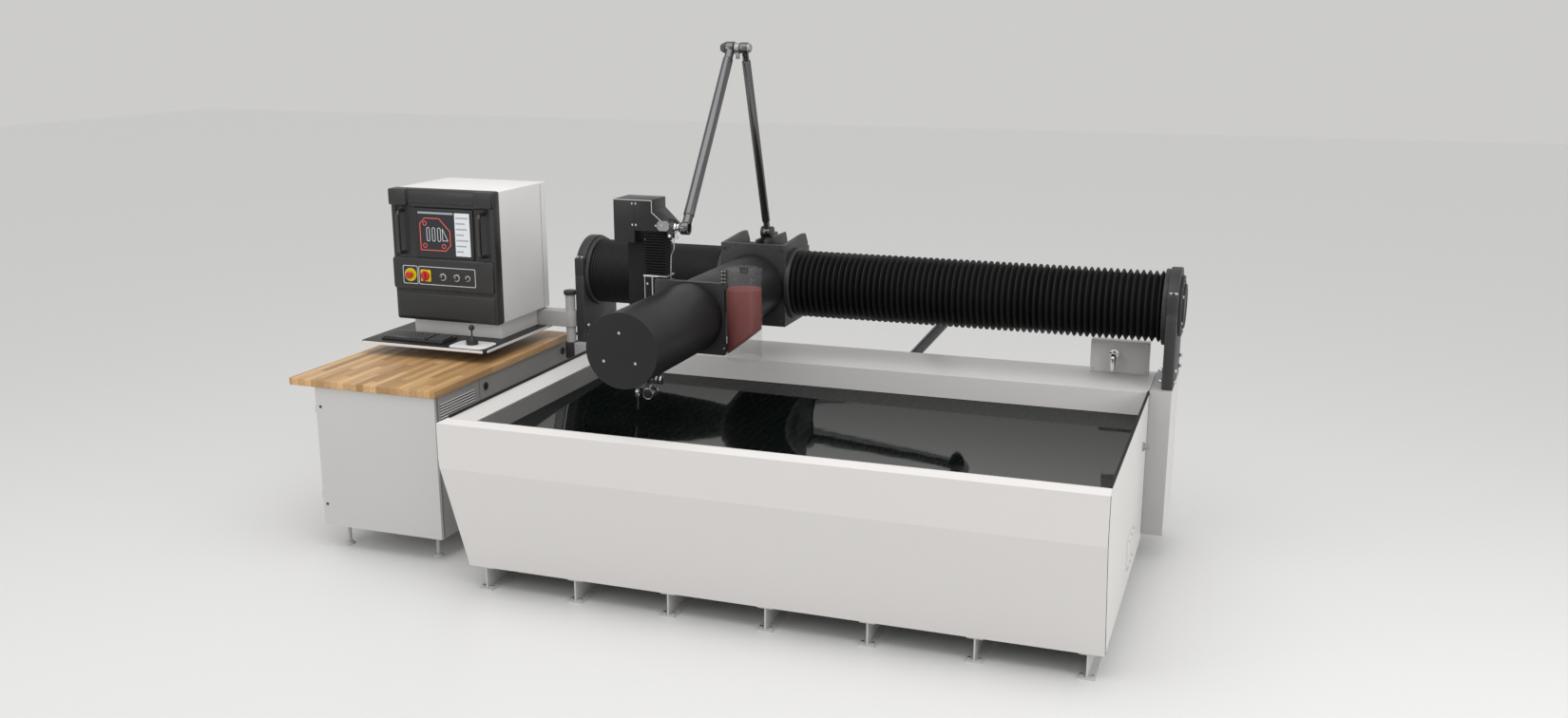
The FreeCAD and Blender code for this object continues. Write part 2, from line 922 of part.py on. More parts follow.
def hopper_lid():
    top = hopper_bottom + hopper_height
    lid = rod_z(hopper_x, hopper_y, top, top + lid_thickness, hopper_radius)
    knob = rod_z(hopper_x, hopper_y, top + lid_thickness, top + lid_thickness + 12, 22)
    return fused(lid, knob)


def hopper_bracket():
    top = arm_z + plate_half_height
    bottom = arm_z - plate_half_height
    x1 = plate_right + hopper_plate_gap
    y0 = hopper_y - hopper_pad_front
    upper = block(plate_right, x1, y0, plate_rear, top - 120, top - hopper_pad_margin)
    lower = block(plate_right, x1, y0, plate_rear, bottom + hopper_pad_margin, bottom + 60)
    clearance = rod_z(hopper_x, hopper_y, hopper_bottom - 10, top + 10, hopper_radius + 0.3)
    return Part.makeCompound([cut(upper, clearance), cut(lower, clearance)])


# Folding tubes over the arm
def fold_apex():
    """The apex of the two equal links, found from their feet."""
    dy = fold_head_y - fold_base_y
    dz = fold_head_z - fold_base_z
    reach = math.hypot(dy, dz)
    rise = math.sqrt(link_length ** 2 - (reach / 2) ** 2)
    return (fold_base_y + dy / 2 + dz / reach * rise, fold_base_z + dz / 2 - dy / reach * rise)


apex_y, apex_z = fold_apex()


def joint_barrel(x, y, z, radius, width):
    return rod_x(x - width / 2, x + width / 2, y, z, radius)


def lower_link():
    start = vec(lower_link_x, fold_base_y, fold_base_z)
    end = vec(lower_link_x, apex_y, apex_z)
    tube = rod_between(start, end, lower_link_radius)
    foot = joint_barrel(lower_link_x, fold_base_y, fold_base_z, joint_radius - 4, joint_width)
    head = joint_barrel(lower_link_x, apex_y, apex_z, joint_radius - 4, joint_width)
    link = fused(tube, foot, head)
    x0 = lower_link_x - joint_width
    x1 = lower_link_x + joint_width
    bore = rod_x(x0, x1, fold_base_y, fold_base_z, joint_pin_radius)
    pin_end = upper_link_x - joint_width / 2
    pin = rod_x(pin_end, lower_link_x, apex_y, apex_z, joint_pin_radius - pin_clearance)
    return fused(cut(link, bore), pin)


def upper_link():
    start = vec(upper_link_x, apex_y, apex_z)
    end = vec(upper_link_x, fold_head_y, fold_head_z)
    tube = rod_between(start, end, upper_link_radius)
    top = joint_barrel(upper_link_x, apex_y, apex_z, joint_radius, joint_width)
    foot = joint_barrel(upper_link_x, fold_head_y, fold_head_z, joint_radius, joint_width)
    link = fused(tube, top, foot)
    x0 = upper_link_x - joint_width
    x1 = upper_link_x + joint_width
    open_radius = joint_pin_radius + head_pivot_clearance
    bore = rod_x(x0, x1, apex_y, apex_z, joint_pin_radius)
    open_bore = rod_x(x0, x1, fold_head_y, fold_head_z, open_radius)
    return cut(link, bore, open_bore)


def head_swivel():
    """The swivel on the cover box that the upper tube ends beside."""
    x1 = upper_link_x - upper_link_radius - head_pivot_gap
    barrel = rod_x(cover_chamfer_x + 30, x1, fold_head_y, fold_head_z, swivel_radius)
    return cut(barrel, z_cover())


def head_line():
    """The thin steel line from the swivel down to a clamp on the front plate."""
    x = cover_right + 30
    plate_top = arm_z + plate_half_height
    line = rod_z(x, plate_rear + 21, plate_top, fold_head_z - swivel_radius / 2, 4.0)
    clamp = block(x - 15, x + 15, plate_rear, plate_rear + 36, plate_top - 22, plate_top)
    return fused(line, clamp)


# Rear folding tubes, the upper one nearer to the carriage
rear_lower_y = rear_plane_y + rear_joint_width


def rear_base_bracket():
    y1 = rear_lower_y - rear_joint_width / 2
    half = rear_joint_radius + 16
    low = rear_base_z - half
    high = rear_base_z + half
    plate = block(rear_base_x - half, rear_base_x + half, tank_depth, tank_depth + 12, low, high)
    stub = rod_y(rear_base_x, tank_depth + 12, y1, rear_base_z, rear_joint_radius)
    return fused(plate, stub)


def rear_link(foot, head, y, tube_radius):
    """A tube between two (x, z) points, with a joint barrel at each end."""
    barrels = []
    for x, z in (foot, head):
        y0 = y - rear_joint_width / 2
        barrels.append(rod_y(x, y0, y0 + rear_joint_width, z, rear_joint_radius))
    tube = rod_between(vec(foot[0], y, foot[1]), vec(head[0], y, head[1]), tube_radius)
    return fused(tube, *barrels)


def rear_lower_link():
    foot = (rear_base_x, rear_base_z)
    head = (rear_apex_x, rear_apex_z)
    return rear_link(foot, head, rear_lower_y, rear_tube_radius)


def rear_upper_link():
    radius = rear_tube_radius * 0.8
    foot = (rear_apex_x, rear_apex_z)
    head = (rear_carriage_x, rear_carriage_z)
    return rear_link(foot, head, rear_plane_y, radius)


def rear_carriage_pivot():
    """The carriage's stub, which stops short of the tube that ends behind it."""
    y1 = rear_plane_y - rear_joint_width / 2 - 6
    return rod_y(rear_carriage_x, carriage_rear, y1, rear_carriage_z, rear_joint_radius * 0.8)


# Fill pipe
def fill_box():
    x1 = fill_box_left + fill_box_width
    y1 = fill_box_front + fill_box_depth
    top = rim_height + fill_box_height
    body = block(fill_box_left, x1, fill_box_front, y1, rim_height, top)
    x0 = fill_box_left + fill_sheet
    y0 = fill_box_front + fill_sheet
    hollow = block(x0, x1 - fill_sheet, y0, y1 + 1, rim_height - 1, top - fill_sheet)
    return cut(body, hollow)


def fill_pipe():
    z = rim_height + fill_box_height * 0.6
    y0 = fill_box_front - fill_pipe_reach
    reach = 2 * fill_pipe_radius
    out = rod_y(fill_pipe_x, y0 - reach, fill_box_front, z, fill_pipe_radius)
    down = rod_z(fill_pipe_x, y0, z - fill_pipe_drop, z + reach, fill_pipe_radius)
    x0 = fill_pipe_x - reach
    x1 = fill_pipe_x + reach
    outline = [(y0 - reach, z - reach), (y0 + reach, z + reach), (y0 - reach, z + reach)]
    behind = prism_x(outline, x0, x1)
    return fused(cut(out, behind), cut(down, behind))


# Cabinet
door_left = cabinet_left + door_side_gap
door_right = cabinet_right - door_side_gap
hinge_x = cabinet_left - hinge_offset
hinge_y = cabinet_front + door_thickness + door_gap - hinge_offset
hinge_levels = (cabinet_bottom + 110.0, cabinet_top - 190.0)


def door_hinges():
    """The cabinet's halves of the two hinges, each with its pin."""
    halves = []
    for z in hinge_levels:
        leaf = block(hinge_x - 3, cabinet_left, hinge_y, hinge_y + hinge_leaf, z, z + hinge_half)
        knuckle = rod_z(hinge_x, hinge_y, z, z + hinge_half, hinge_radius)
        pin = rod_z(hinge_x, hinge_y, z, z + 2 * hinge_half, hinge_pin_radius)
        halves.append(fused(leaf, knuckle, pin))
    return together(*halves)


def cabinet_body():
    y0 = cabinet_front + door_thickness + door_gap
    body = block(cabinet_left, cabinet_right, y0, cabinet_rear, cabinet_bottom, cabinet_top)
    hollow = block(
        cabinet_left + cabinet_sheet,
        cabinet_right - cabinet_sheet,
        y0 - 1,
        cabinet_rear - cabinet_sheet,
        cabinet_bottom + cabinet_sheet,
        cabinet_top - cabinet_sheet,
    )
    return cut(body, hollow)


def cabinet_door():
    """The front door with its halves of the hinges."""
    door_rear = cabinet_front + door_thickness
    pieces = []
    bores = []
    for z in hinge_levels:
        low = z + hinge_half + 0.5
        high = low + hinge_half
        pieces.append(block(hinge_x - 3, door_left, door_rear - hinge_leaf / 2, hinge_y, low, high))
        pieces.append(rod_z(hinge_x, hinge_y, low, high, hinge_radius))
        bores.append(rod_z(hinge_x, hinge_y, low - 1, high + 1, hinge_pin_radius + pin_clearance))
    door_top = cabinet_top - door_side_gap
    panel = block(door_left, door_right, cabinet_front, door_rear, cabinet_bottom, door_top)
    return cut(fused(panel, *pieces), *bores)


def cabinet_feet():
    feet = []
    s = cabinet_foot_size
    for x in (cabinet_left + cabinet_foot_inset, cabinet_right - cabinet_foot_inset - s):
        for y in (cabinet_front + cabinet_foot_inset, cabinet_rear - cabinet_foot_inset - s):
            feet.append(block(x, x + s, y, y + s, 0, cabinet_foot_height))
    return Part.makeCompound(feet)


def wood_top():
    return block(wood_left, wood_right, wood_front, wood_rear, cabinet_top, cabinet_top + wood_thickness)


# Console
def console_box():
    """A sheet box that the bezel closes at the front."""
    s = console_sheet
    y0 = console_front + bezel_depth
    body = block(console_left, console_right, y0, console_rear, console_bottom, console_top)
    x0 = console_left + s
    x1 = console_right - s
    hollow = block(x0, x1, y0 - 1, console_rear - s, console_bottom + s, console_top - s)
    return cut(body, hollow)


def console_bezel():
    x0 = console_left - bezel_overhang
    x1 = console_right + bezel_overhang
    z0 = console_bottom - bezel_overhang
    z1 = console_top + bezel_overhang
    frame = block(x0, x1, console_front, console_front + bezel_depth, z0, z1)
    bores = []
    bore_end = console_front + stem_depth + stop_travel + 2
    for x in (stop_x, switch_x):
        bores.append(rod_y(x, console_front - 1, bore_end, button_z, stem_radius + pin_clearance))
    return cut(frame, *bores)


neck_x0 = console_left + neck_inset
neck_x1 = console_right - neck_inset


def console_neck():
    return block(neck_x0, neck_x1, neck_front, neck_rear, tray_bottom + tray_thickness, console_bottom)


def keyboard_tray():
    return block(tray_left, tray_right, tray_front, tray_rear, tray_bottom, tray_bottom + tray_thickness)


def keyboard():
    x0 = tray_left + keyboard_left
    y0 = tray_front + keyboard_back
    z0 = tray_bottom + tray_thickness
    return block(x0, x0 + keyboard_width, y0, y0 + keyboard_depth, z0, z0 + keyboard_height)


def pointer_pad():
    x1 = tray_right - pad_right
    y0 = tray_front + pad_back
    z0 = tray_bottom + tray_thickness
    return block(x1 - pad_width, x1, y0, y0 + pad_depth, z0, z0 + pad_thickness)


def joystick():
    x = tray_right - pad_right - pad_width / 2
    y = tray_front + pad_back + pad_depth / 2
    z = tray_bottom + tray_thickness + pad_thickness
    base = rod_z(x, y, z, z + 26, 32)
    stick = rod_z(x, y, z + 26, z + 90, 5)
    low = Part.makeCone(8, 16, 10, vec(x, y, z + 84))
    high = Part.makeCone(16, 8, 12, vec(x, y, z + 100))
    return fused(base, stick, low, rod_z(x, y, z + 94, z + 100, 16), high)


def swing_arm():
    low = arm_bracket_low
    high = arm_bracket_high
    y0 = post_y - swing_arm_width / 2
    inner = block(neck_x1, post_x, y0, y0 + swing_arm_width, low, high)
    boss = rod_z(post_x, post_y, low, high, post_radius + swing_boss_wall)
    bore = rod_z(post_x, post_y, low - 1, high + 1, post_radius + swing_bore_gap)
    return cut(fused(inner, boss), bore)


def swing_post():
    return rod_z(post_x, post_y, post_bottom, post_top, post_radius)


def post_cap():
    return rod_z(post_x, post_y, post_top, post_top + post_cap_height, post_cap_radius)


def post_collar():
    """The bracket on the column that the post stands in."""
    low = post_bottom - post_seat
    high = low + collar_height
    plate = block(post_x, left_column_x, post_y - post_cap_radius, post_y + post_cap_radius, low, high)
    ring = rod_z(post_x, post_y, low, high, post_cap_radius)
    bore = rod_z(post_x, post_y, post_bottom, high + 1, post_radius)
    return cut(fused(plate, ring), bore)


stop_x = console_left + stop_from_left
switch_x = stop_x + button_spacing
button_z = console_bottom + button_height


def turned_knob(x, z, head_radius, head_front, head_rear):
    """A round head in front of the bezel on a stem that sits in the bezel's bore."""
    head = rod_y(x, console_front - head_front, console_front - head_rear, z, head_radius)
    stem = rod_y(x, console_front - head_rear, console_front + stem_depth, z, stem_radius)
    return fused(head, stem)


def main_switch():
    knob = turned_knob(switch_x, button_z, 26.0, 22.0, 4.0)
    y0 = console_front - 40
    bar = block(switch_x - 7, switch_x + 7, y0, y0 + 20, button_z - 30, button_z + 30)
    return fused(knob, bar)


def stop_button():
    button = turned_knob(stop_x, button_z, 21.0, 42.0, 20.0)
    rim = [edge for edge in button.Edges if edge.BoundBox.YMax < console_front - 41.9]
    return button.makeChamfer(5.0, rim)


left_trim_x = left_lip_run + trim_width / 2 + 1
right_trim_x = tank_length - trim_width / 2
right_bracket_end = right_bracket_x + bracket_thickness


def together(*shapes):
    """Several separate solids kept in one node."""
    solids = []
    for shape in shapes:
        solids += shape.Solids
    return Part.makeCompound(solids)


NODES = {
    "tank_front": tank_front(),
    "tank_left_end": tank_left_end(),
    "tank_left_lining": tank_left_lining(),
    "tank_right_end": tank_right_end(),
    "tank_rear": tank_rear(),
    "tank_floor": tank_floor(),
    "rim_trims": together(
        rim_trim(left_trim_x, rim_height),
        rim_trim(right_trim_x, rim_height - tank_sheet),
    ),
    "foot_beams": foot_beams(),
    "support_slats": support_slats(),
    "slat_rails": together(slat_rail_front(), slat_rail_rear()),
    "wall_fittings": together(access_plate(), drain_fitting()),
    "bridge_columns": together(column(left_column_x), column(right_column_x)),
    "bracket_saddles": together(bracket_saddle(left_bracket_x), bracket_saddle(right_bracket_x)),
    "bracket_caps": together(bracket_cap(left_bracket_x), bracket_cap(right_bracket_x)),
    "bridge_beam": bridge_beam(),
    "beam_ends": together(beam_end(left_bracket_x, -1), beam_end(right_bracket_end, 1)),
    "bellows_rings": together(ring_left_fixed(), ring_right_fixed()),
    "beam_bellows_left": bellows_sleeve(left_bellows_start, left_bellows_end),
    "beam_bellows_right": bellows_sleeve(right_bellows_start, right_bellows_end),
    "rear_lower_tube": fused(rear_base_bracket(), rear_lower_link()),
    "rear_upper_tube": rear_upper_link(),
    "fill_box": fill_box(),
    "fill_pipe": fill_pipe(),
    "carriage_plates": carriage_plates(),
    "carriage_hub": carriage_hub(),
    "bellows_flanges": bellows_flanges(),
    "tube_stand": tube_stand(),
    "rear_stub": rear_carriage_pivot(),
    "arm_tube": arm_tube(),
    "arm_end_cap": arm_cap(),
    "head_plate": fused(y_front_plate(), y_side_plate()),
    "z_mount": together(z_guide_rail(), z_mount()),
    "z_cover": z_cover(),
    "tube_swivel": fused(head_swivel(), head_line()),
    "hopper_glass": hopper_shell(),
    "hopper_garnet": together(garnet(), hopper_floor()),
    "hopper_fittings": together(hopper_lid(), hopper_bracket()),
    "z_bellows": z_bellows(),
    "z_ram": z_ram(),
    "head_bracket": head_bracket(),
    "cutting_nozzle": nozzle(),
    "head_probe": head_probe(),
    "lower_tube": lower_link(),
    "upper_tube": upper_link(),
    "cabinet_body": cabinet_body(),
    "cabinet_door": cabinet_door(),
    "cabinet_feet": cabinet_feet(),
    "door_hinges": door_hinges(),
    "wood_top": wood_top(),
    "swing_post": together(fused(swing_post(), post_cap()), post_collar()),
    "swing_arm": swing_arm(),
    "console_box": together(console_box(), console_neck()),
    "console_bezel": console_bezel(),
    "keyboard_tray": keyboard_tray(),
    "desk_controls": together(keyboard(), pointer_pad(), joystick()),
    "main_switch": main_switch(),
    "stop_button": stop_button(),
}

os.makedirs("parts", exist_ok=True)
for node, shape in NODES.items():
    placed = shape.copy()
    placed.translate(to_origin)
    placed.exportStep("parts/" + node + ".step")
    print(node, placed.isValid(), len(placed.Solids), round(placed.Volume / 1e6, 2))
print("nodes", len(NODES), "origin from the tank's corner", origin_x, origin_setback)
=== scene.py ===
import math

import bmesh
import bpy
from mathutils import Matrix, Vector


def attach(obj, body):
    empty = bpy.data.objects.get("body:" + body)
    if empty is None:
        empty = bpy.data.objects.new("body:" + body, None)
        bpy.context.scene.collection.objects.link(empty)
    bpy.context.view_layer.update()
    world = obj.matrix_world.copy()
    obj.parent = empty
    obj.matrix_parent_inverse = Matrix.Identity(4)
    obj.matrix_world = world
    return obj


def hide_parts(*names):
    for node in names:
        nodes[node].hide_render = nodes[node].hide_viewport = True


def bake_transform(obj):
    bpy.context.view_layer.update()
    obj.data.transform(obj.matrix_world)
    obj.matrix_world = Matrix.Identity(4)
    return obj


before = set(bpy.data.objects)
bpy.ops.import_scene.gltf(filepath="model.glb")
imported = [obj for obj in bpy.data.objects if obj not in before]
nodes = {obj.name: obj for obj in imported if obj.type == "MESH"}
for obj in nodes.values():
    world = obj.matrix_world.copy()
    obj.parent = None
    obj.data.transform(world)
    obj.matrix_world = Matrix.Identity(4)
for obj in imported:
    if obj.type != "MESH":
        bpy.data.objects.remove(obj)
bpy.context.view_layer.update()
MM = 0.001
SAME_POINT = 0.00002

# Pieces are laid out in millimetres from the tank's left front corner, as the part's source is
CORNER = Vector((1.662, 0.9, 0.0))


# Selecting and shaping

def nothing_selected():
    if bpy.context.object and bpy.context.object.mode != "OBJECT":
        bpy.ops.object.mode_set(mode="OBJECT")
    bpy.ops.object.select_all(action="DESELECT")


def only(piece):
    nothing_selected()
    piece.select_set(True)
    bpy.context.view_layer.objects.active = piece


def named(name):
    piece = bpy.context.object
    piece.name = name
    piece.data.name = name
    return piece


def settled(piece):
    """Puts the piece's place into its mesh."""
    only(piece)
    bpy.ops.object.transform_apply(location=True, rotation=True, scale=True)
    return piece


def at(point):
    """The frame's place, in metres, of a point in millimetres from the tank's corner."""
    return Vector(point) * MM - CORNER


def block(name, low, high):
    """A box between two corners."""
    nothing_selected()
    low = at(low)
    high = at(high)
    bpy.ops.mesh.primitive_cube_add(size=1, location=(low + high) / 2)
    piece = named(name)
    piece.scale = high - low
    return settled(piece)


def rounded_plate(name, low, high, radius, axis=1, segments=5):
    """A plate between two corners. Its edges along one axis are rounded, or cut off with one segment."""
    plate = block(name, low, high)
    only(plate)
    bpy.ops.object.mode_set(mode="EDIT")
    bpy.ops.mesh.select_all(action="DESELECT")
    bpy.ops.mesh.select_mode(type="EDGE")
    shape = bmesh.from_edit_mesh(plate.data)
    for edge in shape.edges:
        way = edge.verts[0].co - edge.verts[1].co
        edge.select_set(abs(way[axis]) > 0.9 * way.length)
    bmesh.update_edit_mesh(plate.data)
    bpy.ops.mesh.bevel(offset=radius * MM, segments=segments, affect="EDGES")
    bpy.ops.object.mode_set(mode="OBJECT")
    return plate


def rod(name, start, end, radius, sides=48, end_radius=None):
    """A round bar, or a cone, from start to end."""
    nothing_selected()
    start = at(start)
    end = at(end)
    along = end - start
    bpy.ops.mesh.primitive_cone_add(
        vertices=sides,
        radius1=radius * MM,
        radius2=(radius if end_radius is None else end_radius) * MM,
        depth=along.length,
        location=(start + end) / 2,
        rotation=Vector((0, 0, 1)).rotation_difference(along).to_euler(),
    )
    return settled(named(name))


def bent_bar(name, points, radius, sides=16):
    """A round bar along a smooth line through the given corners."""
    nothing_selected()
    bpy.ops.curve.primitive_nurbs_path_add()
    curve = bpy.context.object
    spline = curve.data.splines[0]
    spline.points.add(max(0, len(points) - len(spline.points)))
    for place, point in zip(spline.points, points):
        place.co = (*at(point), 1)
    spline.order_u = 3
    spline.use_endpoint_u = True
    spline.resolution_u = 8
    curve.data.bevel_depth = radius * MM
    curve.data.bevel_resolution = sides // 4
    curve.data.use_fill_caps = True
    bpy.ops.object.convert(target="MESH")
    return shaded(settled(named(name)), 40)


def picked_faces(piece, direction):
    """Selects, in edit mode, the outermost faces that look along direction."""
    only(piece)
    bpy.ops.object.mode_set(mode="EDIT")
    bpy.ops.mesh.select_all(action="DESELECT")
    bpy.ops.mesh.select_mode(type="FACE")
    direction = Vector(direction)
    shape = bmesh.from_edit_mesh(piece.data)
    facing = [face for face in shape.faces if face.normal.dot(direction) > 0.99]
    outermost = max(face.calc_center_median().dot(direction) for face in facing)
    for face in facing:
        if face.calc_center_median().dot(direction) > outermost - 0.0002:
            face.select_set(True)
    bmesh.update_edit_mesh(piece.data)


def panelled(piece, direction, border, rise):
    """Insets the face on one side and pushes the middle out, or in where rise is negative."""
    picked_faces(piece, direction)
    bpy.ops.mesh.inset(thickness=border * MM)
    move = Vector(direction) * rise * MM
    bpy.ops.mesh.extrude_region_move(TRANSFORM_OT_translate={"value": move})
    bpy.ops.object.mode_set(mode="OBJECT")
    return piece


def with_modifier(piece, kind, **values):
    only(piece)
    modifier = piece.modifiers.new("shape", kind)
    for key, value in values.items():
        setattr(modifier, key, value)
    bpy.ops.object.modifier_apply(modifier="shape")
    return piece


def bevelled(piece, width, segments=2, angle=35):
    return with_modifier(
        piece, "BEVEL", width=width * MM, segments=segments,
        limit_method="ANGLE", angle_limit=math.radians(angle), harden_normals=False,
    )


def shaded(piece, angle=35):
    only(piece)
    bpy.ops.object.shade_smooth_by_angle(angle=math.radians(angle))
    return piece


def eased(piece, width, segments=2, angle=35, smooth=35):
    """Rounds the sharp edges and shades the rest smooth."""
    return shaded(bevelled(piece, width, segments, angle), smooth)


def cut(piece, tool):
    """Cuts the tool's shape out of the piece, and removes the tool."""
    with_modifier(piece, "BOOLEAN", operation="DIFFERENCE", solver="EXACT", object=tool)
    bpy.data.objects.remove(tool)
    return piece


def without_picked_faces():
    """Deletes the faces that are selected, and leaves edit mode."""
    bpy.ops.mesh.delete(type="FACE")
    bpy.ops.object.mode_set(mode="OBJECT")


def joined(name, pieces):
    nothing_selected()
    for piece in pieces:
        piece.select_set(True)
    bpy.context.view_layer.objects.active = pieces[0]
    if len(pieces) > 1:
        bpy.ops.object.join()
    return named(name)


def copied(piece, name, offset=(0, 0, 0)):
    twin = piece.copy()
    twin.data = piece.data.copy()
    bpy.context.scene.collection.objects.link(twin)
    twin.name = name
    twin.data.transform(Matrix.Translation(Vector(offset) * MM))
    return twin


def merged_copy(node, name):
    """A copy of a CAD node's mesh with its loose triangles merged into faces."""
    source = nodes[node]
    twin = bpy.data.objects.new(name, source.data.copy())
    bpy.context.scene.collection.objects.link(twin)
    twin.data.name = name
    only(twin)
    if twin.data.has_custom_normals:
        bpy.ops.mesh.customdata_custom_splitnormals_clear()
    bpy.ops.object.mode_set(mode="EDIT")
    bpy.ops.mesh.select_all(action="SELECT")
    bpy.ops.mesh.remove_doubles(threshold=SAME_POINT)
    bpy.ops.mesh.dissolve_limited(angle_limit=math.radians(0.6))
    bpy.ops.object.mode_set(mode="OBJECT")
    twin.data.materials.clear()
    return twin


def finished(piece, body, material, slot, *replaced):
    piece.data.materials.clear()
    piece.data.materials.append(material)
    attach(piece, body)
    if replaced:
        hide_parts(*replaced)
    return piece


def dressed(node, name, body, material, slot, width=1.2, segments=2, angle=35, smooth=38):
    """A node's own shape with rounded edges, shaded smooth over angles less than smooth."""
    piece = eased(merged_copy(node, name), width, segments, angle, smooth)
    return finished(piece, body, material, slot, node)


def recoloured(node, material):
    """Keeps a CAD node's own mesh and gives it a better material."""
    for slot in nodes[node].material_slots:
        slot.material = material


def bolts(name, places, axis, radius, height, sides=20):
    """Round screw heads with hexagon sockets, one on each place, standing along axis."""
    direction = Vector(axis).normalized()
    first = Vector(places[0])
    head = bevelled(rod(name, first, first + direction * height, radius, sides), radius * 0.14)
    floor = first + direction * height * 0.4
    well = rod("socket", floor, first + direction * height * 1.5, radius * 0.5, 6)
    shaded(cut(head, well), 30)
    more = [copied(head, name + "_more", Vector(place) - first) for place in places[1:]]
    return joined(name, [head] + more)


def steel_bolts(name, places, axis, radius, height, body="base"):
    return finished(bolts(name, places, axis, radius, height), body, STEEL, "bright_steel")


# Materials

def fed(tree, made, inputs):
    """Links the inputs that are given a socket, and sets the others."""
    for key, value in inputs.items():
        if isinstance(value, bpy.types.NodeSocket):
            tree.links.new(value, made.inputs[key])
        else:
            made.inputs[key].default_value = value
    return made


def node(tree, kind, inputs=None, **settings):
    made = tree.nodes.new("ShaderNode" + kind)
    for key, value in settings.items():
        setattr(made, key, value)
    return fed(tree, made, inputs or {})


def worked(tree, operation, *values):
    return node(tree, "Math", dict(enumerate(values)), operation=operation).outputs[0]


def object_place(tree):
    return node(tree, "TexCoord").outputs["Object"]


def noise(tree, scale, detail=2.0, vector=None, distortion=0.0):
    """Noise on the piece's own coordinates, or on a stretched copy of them."""
    place = vector or object_place(tree)
    values = {"Vector": place, "Scale": scale, "Detail": detail, "Distortion": distortion}
    return node(tree, "TexNoise", values).outputs["Fac"]


def ranged(tree, value, to_low=0.0, to_high=1.0, from_low=0.0, from_high=1.0):
    """Turns a value between from_low and from_high into one between to_low and to_high."""
    values = {"Value": value, "To Min": to_low, "To Max": to_high,
              "From Min": from_low, "From Max": from_high}
    return node(tree, "MapRange", values).outputs["Result"]


def ramp(tree, value, low_colour, high_colour, low=0.0, high=1.0):
    """Runs from one colour to the other while value goes from low to high."""
    made = node(tree, "ValToRGB", {"Fac": value})
    ends = zip(made.color_ramp.elements, (low, high), (low_colour, high_colour))
    for element, position, colour in ends:
        element.position = position
        element.color = (*colour, 1)
    return made.outputs["Color"]


def relief(tree, height, strength, distance=0.001):
    values = {"Height": height, "Strength": strength, "Distance": distance}
    return node(tree, "Bump", values).outputs["Normal"]


def mixed(tree, factor, first, second):
    """The first colour where factor is 0, and the second where it is 1."""
    made = node(tree, "Mix", {"Factor": factor, "A": first, "B": second}, data_type="RGBA")
    return made.outputs["Result"]


def scaled(tree, colour, amount):
    values = {0: colour, "Scale": amount}
    return node(tree, "VectorMath", values, operation="SCALE").outputs[0]


def stretched_place(tree, place, scale):
    return node(tree, "Mapping", {"Vector": place, "Scale": scale}).outputs["Vector"]


def new_group(name, inputs, outputs):
    """A node group with the given sockets, its input sockets and its last node."""
    group = bpy.data.node_groups.new(name, "ShaderNodeTree")
    for kind, label, value in inputs:
        socket = group.interface.new_socket(name=label, in_out="INPUT", socket_type="NodeSocket" + kind)
        socket.default_value = value
    for kind, label in outputs:
        group.interface.new_socket(name=label, in_out="OUTPUT", socket_type="NodeSocket" + kind)
    return group, group.nodes.new("NodeGroupInput").outputs, group.nodes.new("NodeGroupOutput")


def paint_surface_group():
    """Fine spray texture, and slow differences in shade and gloss."""
    group, given, end = new_group(
        "paint surface",
        [("Float", "Spray size", 900.0), ("Float", "Patch size", 3.0), ("Float", "Low gloss", 0.35),
         ("Float", "High gloss", 0.45), ("Color", "Colour", (0.8, 0.8, 0.8, 1)),
         ("Float", "Shade difference", 0.05)],
        [("Color", "Colour"), ("Float", "Roughness"), ("Float", "Height")],
    )
    patch = noise(group, given["Patch size"], 5.0)
    spread = worked(group, "SUBTRACT", patch, 0.5)
    amount = worked(group, "MULTIPLY_ADD", spread, given["Shade difference"], 1.0)
    fed(group, end, {
        "Colour": scaled(group, given["Colour"], amount),
        "Roughness": ranged(group, patch, given["Low gloss"], given["High gloss"], 0.35, 0.65),
        "Height": noise(group, given["Spray size"], 2.0),
    })
    return group


def worn_and_highlit_edge_group():
    """A mask that is white on rounded edges, broken up as wear is; the pale edges are partly worn paint and
    partly painted highlight where edges catch the light.
    """
    group, given, end = new_group(
        "worn and highlit edges", [("Float", "Width", 0.002), ("Float", "Breaks", 60.0)], [("Float", "Mask")],
    )
    flat = node(group, "NewGeometry").outputs["True Normal"]
    rounded = node(group, "Bevel", {"Radius": given["Width"]}, samples=4).outputs["Normal"]
    agree = node(group, "VectorMath", {0: rounded, 1: flat}, operation="DOT_PRODUCT").outputs["Value"]
    edge = ranged(group, agree, from_low=0.995, from_high=0.93)
    breaks = ranged(group, noise(group, given["Breaks"], 4.0), from_low=0.35, from_high=0.6)
    fed(group, end, {"Mask": worked(group, "MULTIPLY", edge, breaks)})
    return group


PAINT_SURFACE = paint_surface_group()
WORN_AND_HIGHLIT_EDGES = worn_and_highlit_edge_group()


def new_material(name):
    material = bpy.data.materials.new(name)
    material.use_nodes = True
    tree = material.node_tree
    return material, tree, tree.nodes["Principled BSDF"]


def painted(name, colour, low, high, difference, bump=0.02, spray=900.0, metallic=0.0, edge=None,
            coat=0.0, specular=0.5):
    """Paint or plastic with a fine surface, and paler edges that are partly rubbed wear and partly painted
    highlight.
    """
    material, tree, shader = new_material(name)
    values = {"Spray size": spray, "Low gloss": low, "High gloss": high, "Colour": (*colour, 1),
              "Shade difference": difference}
    surface = node(tree, "Group", values, node_tree=PAINT_SURFACE).outputs
    shade = surface["Colour"]
    # Paler edges: worn paint together with painted edge highlight
    if edge:
        edge_wear_and_highlight = node(tree, "Group", node_tree=WORN_AND_HIGHLIT_EDGES).outputs["Mask"]
        shade = mixed(tree, edge_wear_and_highlight, shade, (*edge, 1))
    fed(tree, shader, {
        "Base Color": shade, "Roughness": surface["Roughness"],
        "Normal": relief(tree, surface["Height"], bump),
        "Metallic": metallic, "Coat Weight": coat, "Specular IOR Level": specular,
    })
    return material


